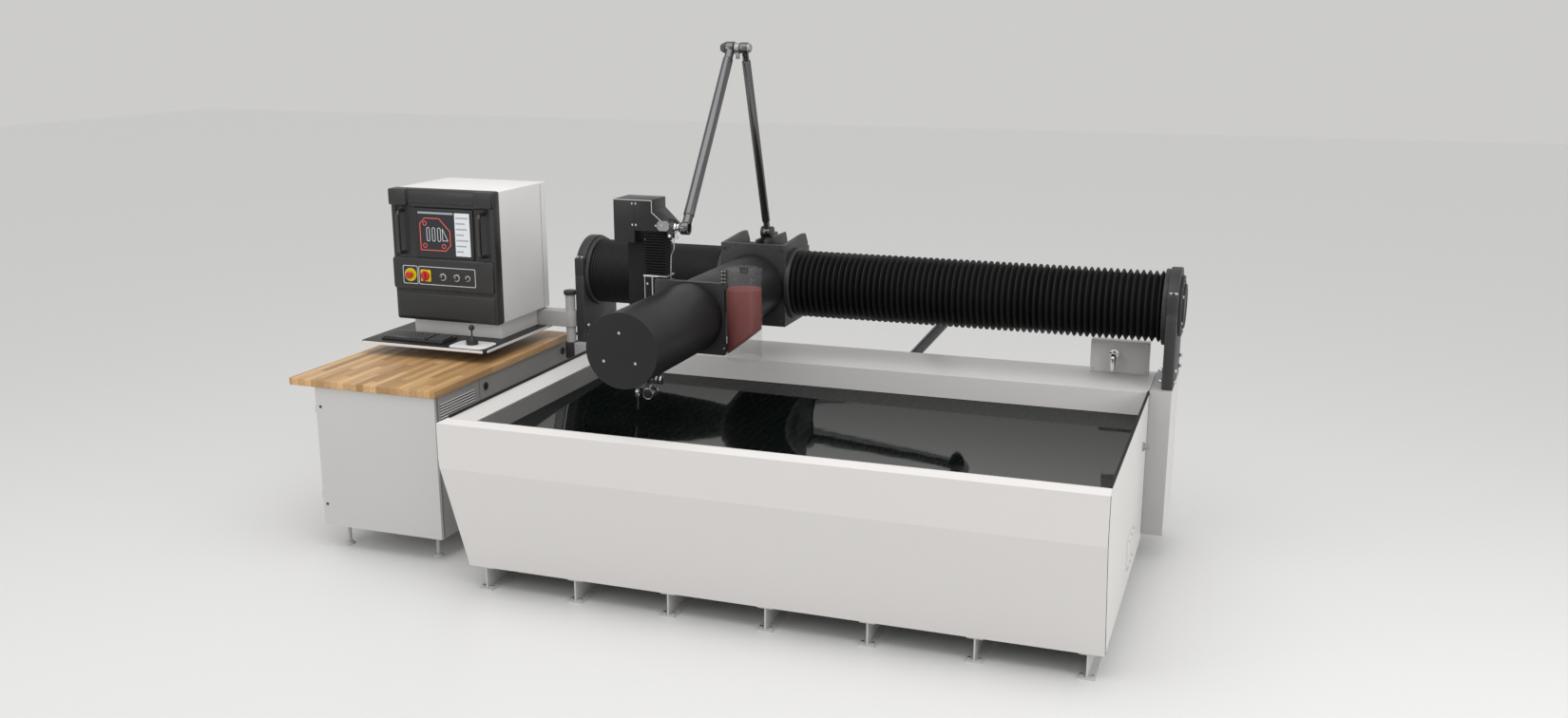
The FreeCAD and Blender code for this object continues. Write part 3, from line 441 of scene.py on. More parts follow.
def brushed(name, colour, roughness, depth=0.03):
    """Bright metal with fine upright lines."""
    material, tree, shader = new_material(name)
    place = object_place(tree)
    grain = noise(tree, 400.0, 3.0, stretched_place(tree, place, (1.0, 1.0, 0.04)))
    fed(tree, shader, {
        "Base Color": (*colour, 1), "Metallic": 1.0, "Normal": relief(tree, grain, depth, 0.0005),
        "Roughness": ranged(tree, grain, roughness * 0.7, roughness * 1.3),
    })
    return material


def slat_metal():
    """Galvanised slats with darker stains."""
    material, tree, shader = new_material("slat_metal")
    stain = ramp(tree, noise(tree, 14.0, 6.0), (0.10, 0.105, 0.105), (0.40, 0.41, 0.41), 0.3, 0.75)
    fed(tree, shader, {"Base Color": stain, "Roughness": 0.45, "Metallic": 0.35})
    return material


def still_water():
    """Dark still water with a faint ripple."""
    material, tree, shader = new_material("still_water")
    fed(tree, shader, {
        "Base Color": ramp(tree, noise(tree, 2.2, 3.0), (0.002, 0.0035, 0.003), (0.005, 0.0075, 0.007)),
        "Normal": relief(tree, noise(tree, 5.0), 0.02, 0.01),
        "Roughness": 0.03, "IOR": 1.33, "Alpha": 0.88,
    })
    return material


STRIP_WIDTH = 0.041
STAVE_LENGTH = 0.61


def strip_wood():
    """Edge-glued strips along Y, each stave with its own shade and grain."""
    material, tree, shader = new_material("strip_wood")
    place = object_place(tree)
    split = node(tree, "SeparateXYZ", {0: place}).outputs
    strips = worked(tree, "DIVIDE", split["X"], STRIP_WIDTH)
    strip = worked(tree, "FLOOR", strips)
    part = worked(tree, "FRACT", worked(tree, "MULTIPLY", strip, 0.618))
    shift = worked(tree, "MULTIPLY", part, STAVE_LENGTH)
    staves = worked(tree, "DIVIDE", worked(tree, "ADD", split["Y"], shift), STAVE_LENGTH)
    stave = worked(tree, "FLOOR", staves)
    pick = node(tree, "CombineXYZ", {"X": strip, "Y": stave}).outputs[0]
    shade = node(tree, "TexWhiteNoise", {"Vector": pick}).outputs
    tone = ramp(tree, shade["Value"], (0.37, 0.195, 0.075), (0.74, 0.47, 0.225))
    stretched = stretched_place(tree, place, (1.0, 0.05, 0.6))
    moved = node(tree, "VectorMath", {0: stretched, 1: shade["Color"]}, operation="ADD").outputs[0]
    grain = noise(tree, 130.0, 6.0, moved, 0.4)
    lines = ranged(tree, grain, 0.78, 1.08, 0.3, 0.7)
    seam = worked(tree, "LESS_THAN", worked(tree, "FRACT", strips), 0.03)
    fed(tree, shader, {
        "Base Color": mixed(tree, seam, scaled(tree, tone, lines), (0.28, 0.15, 0.07, 1)),
        "Normal": relief(tree, grain, 0.12, 0.0004), "Roughness": 0.42,
    })
    return material


def garnet_grains():
    material, tree, shader = new_material("garnet_grains")
    place = object_place(tree)
    grains = node(tree, "TexVoronoi", {"Vector": place, "Scale": 900.0}).outputs
    pick = node(tree, "SeparateColor", {0: grains["Color"]}).outputs[0]
    fed(tree, shader, {
        "Base Color": ramp(tree, pick, (0.13, 0.016, 0.013), (0.25, 0.036, 0.029)),
        "Normal": relief(tree, grains["Distance"], 0.4), "Roughness": 0.7,
    })
    return material


def clear_acrylic():
    material, tree, shader = new_material("clear_acrylic")
    fed(tree, shader, {
        "Base Color": (0.22, 0.23, 0.23, 1), "Alpha": 0.07, "Coat Weight": 0.5,
        "Roughness": ranged(tree, noise(tree, 9.0), 0.03, 0.16),
    })
    return material


def glowing(name, colour, strength):
    material, tree, shader = new_material(name)
    fed(tree, shader, {
        "Base Color": (*[part * 0.5 for part in colour], 1), "Emission Color": (*colour, 1),
        "Emission Strength": strength, "Roughness": 0.2,
    })
    return material


WHITE = painted("white_enamel", (0.72, 0.70, 0.69), 0.36, 0.44, 0.02, bump=0.008)
# Dark grey for the tank's inner lining: partly its wet paint, partly painted shade on the inner wall below
# the ledge
LINING_WET_AND_SHADED = painted("lining_wet_and_painted_shade", (0.30, 0.295, 0.29), 0.4, 0.5, 0.05, bump=0.01)
COLUMN = painted("column_enamel", (0.42, 0.415, 0.41), 0.38, 0.48, 0.03, bump=0.01)
CONSOLE_WHITE = painted("console_white", (0.84, 0.83, 0.82), 0.38, 0.5, 0.03, bump=0.02, spray=700)
CABINET = painted("cabinet_grey", (0.58, 0.575, 0.57), 0.42, 0.5, 0.02, bump=0.01)
# Painted shade: a darker copy of the cabinet grey, for the cabinet's side that lies in the tank's shade
CABINET_SHADED_SIDE = painted("cabinet_side_painted_shade", (0.36, 0.357, 0.352), 0.42, 0.5, 0.03, bump=0.01)
# The black enamel's and bezel plastic's paler edge colours are partly wear, partly painted edge highlight
BLACK = painted("black_enamel", (0.030, 0.030, 0.031), 0.42, 0.56, 0.2, bump=0.05, edge=(0.16, 0.16, 0.16))
ARM_BLACK = painted("arm_black", (0.016, 0.016, 0.017), 0.42, 0.52, 0.12, bump=0.02, spray=500, specular=0.28)
TUBE_GREY = painted("dark_grey_tube", (0.15, 0.15, 0.155), 0.12, 0.18, 0.15, bump=0.005, metallic=0.9)
BELLOWS = painted("bellows_rubber", (0.0065, 0.0065, 0.007), 0.5, 0.66, 0.35, bump=0.08, spray=420,
                  specular=0.3)
PLASTIC = painted("bezel_plastic", (0.024, 0.024, 0.025), 0.34, 0.46, 0.15, bump=0.1, spray=1100,
                  edge=(0.14, 0.14, 0.14))
GLOSS_BLACK = painted("handle_plastic", (0.02, 0.02, 0.021), 0.12, 0.18, 0.1, bump=0.005, coat=0.6)
KEYS = painted("key_plastic", (0.022, 0.022, 0.023), 0.36, 0.46, 0.15, bump=0.04)
KEY_TOPS = painted("key_tops", (0.075, 0.075, 0.078), 0.3, 0.4, 0.1, bump=0.02)
RUBBER = painted("black_rubber", (0.01, 0.01, 0.01), 0.6, 0.75, 0.3, bump=0.1)
GREY_METAL = painted("grey_steel", (0.36, 0.36, 0.36), 0.3, 0.42, 0.08, bump=0.02, metallic=0.7)
FOOT_STEEL = painted("foot_steel", (0.56, 0.56, 0.55), 0.35, 0.48, 0.1, bump=0.02, metallic=0.15)
STEEL = brushed("turned_steel", (0.62, 0.63, 0.65), 0.25)
CHROME = brushed("chrome_fitting", (0.86, 0.87, 0.88), 0.08, depth=0.005)
SLAT = slat_metal()
WATER = still_water()
WOOD = strip_wood()
GARNET = garnet_grains()
ACRYLIC = clear_acrylic()
RED = painted("red_plastic", (0.55, 0.012, 0.01), 0.22, 0.3, 0.1, bump=0.01, coat=0.3)
YELLOW = painted("yellow_plastic", (0.78, 0.62, 0.01), 0.25, 0.35, 0.06, bump=0.01)
PALE_LINE = painted("pale_line", (0.75, 0.75, 0.75), 0.4, 0.5, 0.05, bump=0.0)
COVER_BLACK = painted("cover_black", (0.016, 0.016, 0.017), 0.34, 0.42, 0.1, bump=0.01, specular=0.4)
LIGHT_GREY = painted("light_grey", (0.50, 0.50, 0.50), 0.36, 0.48, 0.04, bump=0.01)
SCREEN_DARK = glowing("screen_dark", (0.02, 0.02, 0.024), 0.6)
SCREEN_RED = glowing("screen_red", (0.8, 0.12, 0.09), 0.8)
SCREEN_PALE = glowing("screen_pale", (0.62, 0.64, 0.66), 0.7)
SCREEN_GREY = glowing("screen_grey", (0.30, 0.33, 0.36), 0.7)


# Camera, light and floor

def photographed_view():
    nothing_selected()
    bpy.ops.object.camera_add(location=(2.1594, -6.5962, 2.849))
    camera = bpy.context.object
    camera.name = "photo_camera"
    turn = Matrix.Rotation(math.radians(19.45), 4, "Z")
    tip = Matrix.Rotation(math.radians(90 - 13.672), 4, "X")
    camera.matrix_world = Matrix.Translation(camera.location) @ turn @ tip
    camera.data.sensor_width = 36.0
    camera.data.lens = 32.37
    camera.data.clip_end = 100.0
    bpy.context.scene.camera = camera


def soft_light(name, place, aim, size, power):
    nothing_selected()
    bpy.ops.object.light_add(type="AREA", location=place)
    lamp = bpy.context.object
    lamp.name = name
    lamp.data.shape = "RECTANGLE"
    lamp.data.size = size[0]
    lamp.data.size_y = size[1]
    lamp.data.energy = power
    direction = Vector(aim) - Vector(place)
    lamp.rotation_euler = direction.to_track_quat("-Z", "Y").to_euler()
    return lamp


def pale_room():
    """Even soft light, and a plain grey wall behind where it is looked at, mirrored or seen through."""
    world = bpy.data.worlds.new("pale_room")
    bpy.context.scene.world = world
    world.use_nodes = True
    tree = world.node_tree
    tree.nodes.clear()
    soft = node(tree, "Background", {"Color": (0.95, 0.945, 0.93, 1), "Strength": 0.8})
    shown = node(tree, "Background", {"Color": (0.61, 0.605, 0.59, 1), "Strength": 1.0})
    path = node(tree, "LightPath").outputs
    seen = worked(tree, "MAXIMUM", path["Is Camera Ray"], path["Is Glossy Ray"])
    seen = worked(tree, "MAXIMUM", seen, path["Is Transmission Ray"])
    pick = node(tree, "MixShader", {"Fac": seen, 1: soft.outputs[0], 2: shown.outputs[0]})
    node(tree, "OutputWorld", {"Surface": pick.outputs[0]})


def pale_floor():
    nothing_selected()
    bpy.ops.mesh.primitive_plane_add(size=60, location=(0, 0, 0))
    floor = named("pale_floor")
    material, tree, shader = new_material("floor_paint")
    fed(tree, shader, {"Base Color": (0.78, 0.78, 0.775, 1), "Roughness": 0.4})
    floor.data.materials.append(material)


photographed_view()
pale_room()
pale_floor()
soft_light("ceiling_panel", (-0.5, -1.5, 5.6), (0, 0.5, 0.8), (6.0, 4.0), 110)
soft_light("front_left_panel", (-4.5, -5.5, 3.4), (0, 0, 0.9), (3.0, 2.5), 45)
soft_light("right_panel", (5.5, -2.0, 3.2), (0.5, 0.5, 0.9), (3.0, 2.5), 75)
bpy.context.scene.view_settings.view_transform = "Standard"


# Tank and its frame

TANK_LENGTH = 3251
TANK_DEPTH = 2160
LEDGE_FRONT = 1690
FOOT_FIRST = 147
FOOT_PITCH = 505
FOOT_COUNT = 7
WATER_HEIGHT = 799
HOSE_Y = 1450
HOSE_Z = 700


def tank_sheets():
    dressed("tank_front", "tank_front_sheet", "base", WHITE, "white_paint", 1.5, 3, smooth=9)
    dressed("tank_left_end", "tank_left_sheet", "base", WHITE, "white_paint", 1.5, 3, smooth=9)
    # The lining's dark grey is partly wet paint, partly painted shade
    dressed("tank_left_lining", "tank_lining", "base", LINING_WET_AND_SHADED, "white_paint", 1.0, smooth=9)
    dressed("tank_right_end", "tank_right_sheet", "base", WHITE, "white_paint", 1.5, 3, smooth=9)
    dressed("tank_rear", "tank_rear_ledge", "base", WHITE, "white_paint", 2.0, 3, smooth=9)
    edge = TANK_LENGTH - 0.6
    bends = [(143, 128), (143, 130), (8, 670), (4, 686), (4, 800), (4, 908)]
    seam = bent_bar("front_sheet_seam", [(edge, y, z) for y, z in bends], 2.8, 8)
    finished(seam, "base", RUBBER, "black_rubber")
    dressed("rim_trims", "rim_rubber", "base", RUBBER, "black_rubber", 2.0)
    recoloured("tank_floor", BLACK)
    recoloured("slat_rails", BLACK)
    recoloured("support_slats", SLAT)


def water_surface():
    """Still water 1.5 mm over the slats, turned up where it meets the walls."""
    water = block("still_water", (150.5, 6.5, WATER_HEIGHT - 10),
                  (TANK_LENGTH - 6.5, LEDGE_FRONT - 0.5, WATER_HEIGHT))
    panelled(water, (0, 0, 1), 5, -1.5)
    finished(eased(water, 0.8, 3, smooth=60), "base", WATER, "clear_plastic")


def foot_beam_pieces():
    dressed("foot_beams", "foot_beam_steel", "base", FOOT_STEEL, "grey_paint", 1.2)
    places = []
    for i in range(FOOT_COUNT):
        x = FOOT_FIRST + i * FOOT_PITCH
        places += [(x - 24, 160, 8), (x + 24, 160, 8)]
        places += [(x - 24, TANK_DEPTH - 40, 8), (x + 24, TANK_DEPTH - 40, 8)]
    steel_bolts("foot_anchor_bolts", places, (0, 0, 1), 9, 8)


def wall_plate_and_hose_fitting():
    wall = TANK_LENGTH
    plate = rounded_plate("side_access_plate", (wall - 0.5, 900, 225), (wall + 7, 1120, 395), 12, 0)
    finished(eased(plate, 1.2, 2), "base", WHITE, "white_paint", "wall_fittings")
    places = [(wall + 7, y, z) for y in (914, 1010, 1106) for z in (239, 381)]
    steel_bolts("access_plate_bolts", places, (1, 0, 0), 7, 4)
    rounds = []
    for start, end, radius, sides, width, segments in ((-0.5, 10, 22, 64, 1.5, 3), (9, 24, 17, 6, 1.2, 2),
                                                       (23, 34, 11, 48, 1.5, 2)):
        piece = rod("hose_piece", (wall + start, HOSE_Y, HOSE_Z), (wall + end, HOSE_Y, HOSE_Z), radius, sides)
        rounds.append(bevelled(piece, width, segments))
    fitting = joined("hose_fitting", rounds)
    finished(shaded(fitting, 30), "base", GREY_METAL, "grey_paint", "wall_fittings")


# Bridge

LEFT_BRACKET = (-112, -56)
RIGHT_BRACKET = (3307, 3363)
BEAM_Y = 1915
BEAM_Z = 1346.5
DISC_Z = 1356.5
DISC_THICKNESS = 16
BELLOWS_RADIUS = 190
BOLT_CIRCLE = 140


def bridge_columns_and_clamps():
    dressed("bridge_columns", "bridge_column_boxes", "base", COLUMN, "white_paint", 4.0, 3)
    for side, x in (("left", LEFT_BRACKET[0]), ("right", RIGHT_BRACKET[1])):
        sheet = rounded_plate(side + "_column_side", (x - 1, 1668, 158), (x + 1, 2152, 935), 3, 0, 3)
        finished(bevelled(sheet, 0.5, 1), "base", WHITE, "white_paint")
    dressed("bracket_saddles", "clamp_saddles", "base", BLACK, "dark_paint", 3.0, 3)
    dressed("bracket_caps", "clamp_caps", "base", BLACK, "dark_paint", 3.0, 3)
    dressed("bellows_rings", "bellows_end_rings", "base", BLACK, "dark_paint", 3.0, 3)
    recoloured("bridge_beam", STEEL)
    heads = []
    for x0, x1 in (LEFT_BRACKET, RIGHT_BRACKET):
        for y in (BEAM_Y - 198, BEAM_Y + 198):
            heads += [(x0 + 15, y, BEAM_Z + 104), (x1 - 15, y, BEAM_Z + 104)]
    steel_bolts("clamp_bolts", heads, (0, 0, 1), 11, 12)
    for side, (x0, x1) in (("left", LEFT_BRACKET), ("right", RIGHT_BRACKET)):
        for name, x, way in (("low_bolts", x0, -1), ("high_bolts", x1, 1)):
            places = [(x, y, z) for y in (1726, 2104) for z in (985, 1045)]
            steel_bolts(f"{side}_bracket_{name}", places, (way, 0, 0), 10, 16)
    for side, start, outward in (("left", LEFT_BRACKET[0], -1), ("right", RIGHT_BRACKET[1], 1)):
        middle = Vector((start, BEAM_Y, DISC_Z))
        out = Vector((outward, 0, 0))
        disc = bevelled(rod("disc", middle, middle + out * DISC_THICKNESS, 162, 160), 2.5, 3)
        crown = rod("crown", middle + out * (DISC_THICKNESS - 1), middle + out * 27, 118, 128)
        bevelled(panelled(crown, out, 16, -5), 2, 3)
        disc = joined(side + "_beam_disc", [disc, crown])
        finished(shaded(disc), "base", BLACK, "dark_paint", "beam_ends")
        turns = [math.radians(30 + 60 * i) for i in range(6)]
        places = [middle + Vector((outward * DISC_THICKNESS, BOLT_CIRCLE * math.cos(turn),
                                   BOLT_CIRCLE * math.sin(turn))) for turn in turns]
        steel_bolts(side + "_disc_bolts", places, (outward, 0, 0), 9, 7)


# How far up the pitch a pleat rises and stays out before it comes in again
PLEAT_RISE = 0.44
PLEAT_CREST = 0.12


def one_round_pleat(pitch, crest, root, sides=72):
    """One fold of a round bellows, standing at the world's origin along Z."""
    nothing_selected()
    bpy.ops.mesh.primitive_cone_add(
        vertices=sides, radius1=root * MM, radius2=crest * MM, depth=PLEAT_RISE * pitch * MM,
        location=(0, 0, PLEAT_RISE / 2 * pitch * MM), end_fill_type="NGON",
    )
    pleat = named("pleat")
    settled(pleat)
    picked_faces(pleat, (0, 0, 1))
    for share in (PLEAT_CREST, PLEAT_RISE):
        bpy.ops.mesh.extrude_region_move(TRANSFORM_OT_translate={"value": (0, 0, share * pitch * MM)})
    narrow = root / crest
    bpy.ops.transform.resize(value=(narrow, narrow, 1), center_override=(0, 0, pitch * MM))
    without_picked_faces()
    picked_faces(pleat, (0, 0, -1))
    without_picked_faces()
    return pleat


def one_square_pleat(pitch, width, depth, fold):
    """One fold of a box bellows, its low corner at the world's origin."""
    nothing_selected()
    height = PLEAT_RISE * pitch * MM
    bpy.ops.mesh.primitive_cube_add(size=1, location=(width * MM / 2, depth * MM / 2, height / 2))
    pleat = named("pleat")
    pleat.scale = (width * MM, depth * MM, height)
    settled(pleat)
    narrow = ((width - 2 * fold) / width, (depth - 2 * fold) / depth, 1)
    picked_faces(pleat, (0, 0, -1))
    bpy.ops.transform.resize(value=narrow, center_override=(width * MM / 2, depth * MM / 2, 0))
    bpy.ops.object.mode_set(mode="OBJECT")
    picked_faces(pleat, (0, 0, 1))
    for share in (PLEAT_CREST, PLEAT_RISE):
        bpy.ops.mesh.extrude_region_move(TRANSFORM_OT_translate={"value": (0, 0, share * pitch * MM)})
    bpy.ops.transform.resize(value=narrow, center_override=(width * MM / 2, depth * MM / 2, pitch * MM))
    without_picked_faces()
    picked_faces(pleat, (0, 0, -1))
    without_picked_faces()
    return pleat


def share_along(weight):
    """Where a smooth blend from 0 to 1 reaches the given weight."""
    return 0.5 - math.sin(math.asin(1 - 2 * weight) / 3)


def pleated(name, pleat, low, high, axis, count, lengths, body_low, body_high, node):
    """Repeats a pleat from low to high in several lengths."""
    pitch = (high[axis] - low[axis]) / count
    per_length = count // lengths
    with_modifier(
        pleat, "ARRAY", count=per_length, use_relative_offset=False, use_constant_offset=True,
        constant_offset_displace=(0, 0, pitch * MM), use_merge_vertices=True, merge_threshold=SAME_POINT,
    )
    with_modifier(pleat, "SOLIDIFY", thickness=1.2 * MM, offset=-1)
    turn = Matrix.Rotation(math.radians(90), 4, "Y") if axis == 0 else Matrix.Identity(4)
    pleat.data.transform(Matrix.Translation(at(low)) @ turn)
    shaded(pleat, 25)
    for i in range(lengths):
        first = low[axis] + i * per_length * pitch
        last = first + per_length * pitch
        step = Vector((0, 0, 0))
        step[axis] = first - low[axis]
        length = copied(pleat, f"{name}_{i + 1}", step)
        length.data.materials.append(BELLOWS)
        share_first = share_along(i / lengths)
        share_last = share_along((i + 1) / lengths)
        run = (last - first) / (share_last - share_first)
        start = Vector(low)
        start[axis] = first - share_first * run
        end = Vector(start)
        end[axis] = start[axis] + run
        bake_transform(length)
        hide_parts(node)
    bpy.data.objects.remove(pleat)


def beam_bellows():
    for side, left, right, root, count, lengths, bodies in (
            ("left", -30, 785.5, 186.5, 48, 8, ("base", "x_carriage")),
            ("right", 1227.5, 3281, 164, 60, 15, ("x_carriage", "base"))):
        pleat = one_round_pleat((right - left) / count, BELLOWS_RADIUS, root)
        pleated(side + "_bellows", pleat, (left, BEAM_Y, BEAM_Z), (right, BEAM_Y, BEAM_Z), 0, count, lengths,
                *bodies, "beam_bellows_" + side)


def box_bellows():
    low, high, folds = (740, 857, 1546), (740, 857, 1774), 16
    pleat = one_square_pleat((high[2] - low[2]) / folds, 122, 94, 8)
    pleated("z_bellows_folds", pleat, low, high, 2, folds, 4, "z_head", "y_carriage", "z_bellows")


# X carriage and arm

ARM_X = 1006.5
ARM_Z = 1346.5
ARM_FRONT = 36


def carriage_pieces():
    dressed("carriage_plates", "carriage_box", "x_carriage", BLACK, "dark_paint", 3.0, 3)
    dressed("tube_stand", "tube_stand_ribs", "x_carriage", BLACK, "dark_paint", 2.5, 3)
    dressed("bellows_flanges", "carriage_rings", "x_carriage", BLACK, "dark_paint", 3.0, 3)
    dressed("rear_stub", "rear_pivot_stub", "x_carriage", BLACK, "dark_paint", 2.0, 2)
    recoloured("carriage_hub", BLACK)
    places = []
    for x in (ARM_X - 172, ARM_X + 172):
        places += [(x, 1741, z) for z in (1150, 1562)]
    finished(bolts("carriage_bolts", places, (0, -1, 0), 9, 4), "x_carriage", BLACK, "dark_paint")


def arm_pieces():
    tube = rod("cantilever_arm", (ARM_X, ARM_FRONT, ARM_Z), (ARM_X, 1727, ARM_Z), 180.5, 192)
    flange = rod("arm_flange", (ARM_X, 1726, ARM_Z), (ARM_X, 1741, ARM_Z), 187, 192)
    arm = joined("cantilever_arm", [tube, bevelled(flange, 3, 3)])
    finished(shaded(arm), "x_carriage", ARM_BLACK, "dark_paint", "arm_tube")
    cap = rod("arm_end_plate", (ARM_X, ARM_FRONT - 16, ARM_Z), (ARM_X, ARM_FRONT, ARM_Z), 182.5, 192)
    finished(eased(cap, 3.5, 4), "x_carriage", ARM_BLACK, "dark_paint", "arm_end_cap")
    places = [(x, ARM_FRONT - 16, z) for x, z in ((998, 1432), (916, 1293), (1077, 1293))]
    steel_bolts("arm_end_screws", places, (0, -1, 0), 7, 2.5, "x_carriage")


# Head

# The swivel's middle, which the upper tube hangs on
HEAD_Y = 880
HEAD_Z = 1797

# Painted highlight, with some worn paint: pale bars along the edge of the cover's front sheet, from its top
# left corner round to its slanted side
COVER_EDGE_HIGHLIGHT = [(576, 857, 1932), (788, 857, 1932), (788, 857, 1872), (842, 857, 1828)]


def head_carriage_pieces():
    dressed("head_plate", "arm_carriage_plate", "y_carriage", BLACK, "dark_paint", 2.5, 3)
    # Painted shade: the cover's upright takes the near-black bellows rubber, darker than the black paint, for
    # the shade it stands in
    dressed("z_mount", "cover_upright", "y_carriage", BELLOWS, "dark_paint", 2.0)
    dressed("z_cover", "z_drive_cover", "y_carriage", COVER_BLACK, "dark_paint", 2.2, 2)
    seam = bevelled(block("cover_seam", (688, 856.2, 1712), (690, 857.4, 1932)), 0.4, 1)
    finished(seam, "y_carriage", RUBBER, "black_rubber")
    # Painted highlight: thin pale bars along the cover's front edges
    highlight_lines = [rod("highlight_lines", start, end, 2.2, 12) for start, end in zip(COVER_EDGE_HIGHLIGHT, COVER_EDGE_HIGHLIGHT[1:])]
    finished(shaded(joined("cover_edge_highlight", highlight_lines), 40), "y_carriage", LIGHT_GREY, "grey_paint")
    places = [(x, 857, z) for x in (679, 699) for z in (1914, 1804)] + [(811, 857, 1805)]
    steel_bolts("cover_screws", places, (0, -1, 0), 5.5, 2.5, "y_carriage")


def swivel_pieces():
    """The joint the upper tube hangs on, its fittings, and the thin line down to the head plate."""
    plate = rounded_plate("swivel_plate", (820, 849, 1780), (886, 857, 1832), 12, 1, 1)
    finished(bevelled(plate, 1, 2), "y_carriage", GREY_METAL, "grey_paint")
    steel_bolts("swivel_plate_screw", [(848, 849, 1808)], (0, -1, 0), 5.5, 3, "y_carriage")
    barrel = bevelled(rod("swivel_barrel", (847.5, HEAD_Y, HEAD_Z), (939, HEAD_Y, HEAD_Z), 20, 64), 2)
    body = bevelled(block("swivel_body", (873, 853, 1744), (905, 900, 1806)), 4, 3)
    barrel = joined("tube_swivel_body", [barrel, body])
    finished(shaded(barrel), "y_carriage", GLOSS_BLACK, "dark_paint", "tube_swivel")
    nuts = [rod("nut", (908, HEAD_Y, HEAD_Z), (920, HEAD_Y, HEAD_Z), 26, 6),
            rod("nut", (924, HEAD_Y, HEAD_Z), (934, HEAD_Y, HEAD_Z), 23, 6),
            rod("nut", (917, 868, 1742), (917, 868, 1770), 11, 6),
            rod("nut", (893, 850, 1758), (893, 841, 1758), 9, 6)]
    nuts = joined("swivel_nuts", [bevelled(nut, 1.5, 2) for nut in nuts])
    finished(shaded(nuts, 25), "y_carriage", CHROME, "bright_steel", "tube_swivel")
    bends = [(882, 866, 1840), (896, 866, 1840), (910, 867, 1836), (920, 870, 1826), (924, 874, 1812)]
    finished(bent_bar("swivel_elbow", bends, 6), "y_carriage", RUBBER, "black_rubber")
    bends = [(905, 1750), (905, 1720), (905, 1692), (902, 1680), (889, 1656), (887, 1640), (885, 1600),
             (884, 1530)]
    line = bent_bar("head_line", [(x, 870, z) for x, z in bends], 3.2, 12)
    finished(line, "y_carriage", STEEL, "bright_steel", "tube_swivel")
    clamp = bevelled(block("line_clamp", (873, 851, 1512), (898, 885, 1533)), 2.5, 2)
    finished(clamp, "y_carriage", BLACK, "dark_paint", "tube_swivel")


def ram_pieces():
    dressed("z_ram", "z_slide_column", "z_head", COVER_BLACK, "bright_steel", 1.5)
    flange = block("z_slide_flange", (735, 852, 1537), (871, 952, 1547))
    finished(eased(flange, 2, 2), "z_head", STEEL, "bright_steel")
    side = block("z_slide_edge", (739, 856, 1064), (744, 860, 1536))
    finished(bevelled(side, 1, 2), "z_head", STEEL, "bright_steel")
    guide = rod("z_slide_rod", (786, 860, 1170), (786, 860, 1536), 7, 32)
    finished(shaded(guide), "z_head", STEEL, "bright_steel")
    steel_bolts("z_slide_screw", [(757, 857, 1500)], (0, -1, 0), 6, 3, "z_head")


def cutting_head_pieces():
    dressed("head_bracket", "nozzle_arm", "z_head", BLACK, "dark_paint", 1.5)
    dressed("cutting_nozzle", "nozzle_body", "z_head", CHROME, "bright_steel", 0.6)
    dressed("head_probe", "height_probe", "z_head", PLASTIC, "dark_plastic", 1.5)
    rims = []
    for near, far, radius in ((726, 734, 30), (748, 752, 29.2), (790, 797, 29.6)):
        rims.append(rod("probe_rim", (804, near, 944), (804, far, 944), radius, 64))
    panelled(rims[0], (0, -1, 0), 5, -4)
    rims = [bevelled(rim, 0.8) for rim in rims]
    finished(shaded(joined("probe_rims", rims)), "z_head", CHROME, "bright_steel")
    bands = [bevelled(rod("motor_band", (near, 775, 1014), (far, 775, 1014), 24.3), 1)
             for near, far in ((861, 867.8), (838, 842), (815, 819))]
    finished(shaded(joined("motor_bands", bands)), "z_head", CHROME, "bright_steel")


HOPPER_X = 1301
HOPPER_Y = 836


def hopper_pieces():
    dressed("hopper_garnet", "garnet", "y_carriage", GARNET, "garnet_grain", 0.8)
    glass = rod("hopper_tube", (HOPPER_X, HOPPER_Y, 1152), (HOPPER_X, HOPPER_Y, 1604), 93, 96)
    panelled(glass, (0, 0, -1), 4, -430)
    finished(eased(glass, 1, 2), "y_carriage", ACRYLIC, "clear_plastic", "hopper_glass")
    lid = rod("hopper_lid", (HOPPER_X, HOPPER_Y, 1604), (HOPPER_X, HOPPER_Y, 1616), 93, 96)
    finished(eased(lid, 2, 3), "y_carriage", ACRYLIC, "clear_plastic", "hopper_fittings")
    plug = rod("hopper_plug", (HOPPER_X, HOPPER_Y, 1590), (HOPPER_X, HOPPER_Y, 1628), 22, 48)
    panelled(plug, (0, 0, 1), 6, -4)
    finished(eased(plug, 1.5, 2), "y_carriage", PLASTIC, "dark_plastic")
    pads = [bevelled(block("hopper_pad", (1185, 814, low), (1211, 849, high)), 1.5)
            for low, high in ((1500, 1606), (1179, 1219))]
    finished(joined("hopper_pads", pads), "y_carriage", BLACK, "dark_paint")
    places = [(x, 814, z) for z in (1597, 1578, 1559, 1541) for x in (1191, 1205)] + [(1198, 814, 1199)]
    steel_bolts("hopper_pad_screws", places, (0, -1, 0), 4.5, 3, "y_carriage")


# Folding tubes

FOOT_JOINT = Vector((0, 1880, 1640))
APEX_JOINT = Vector((0, 1531.4, 2683.3))
HEAD_JOINT = Vector((0, HEAD_Y, HEAD_Z))
SLEEVE_START = 70


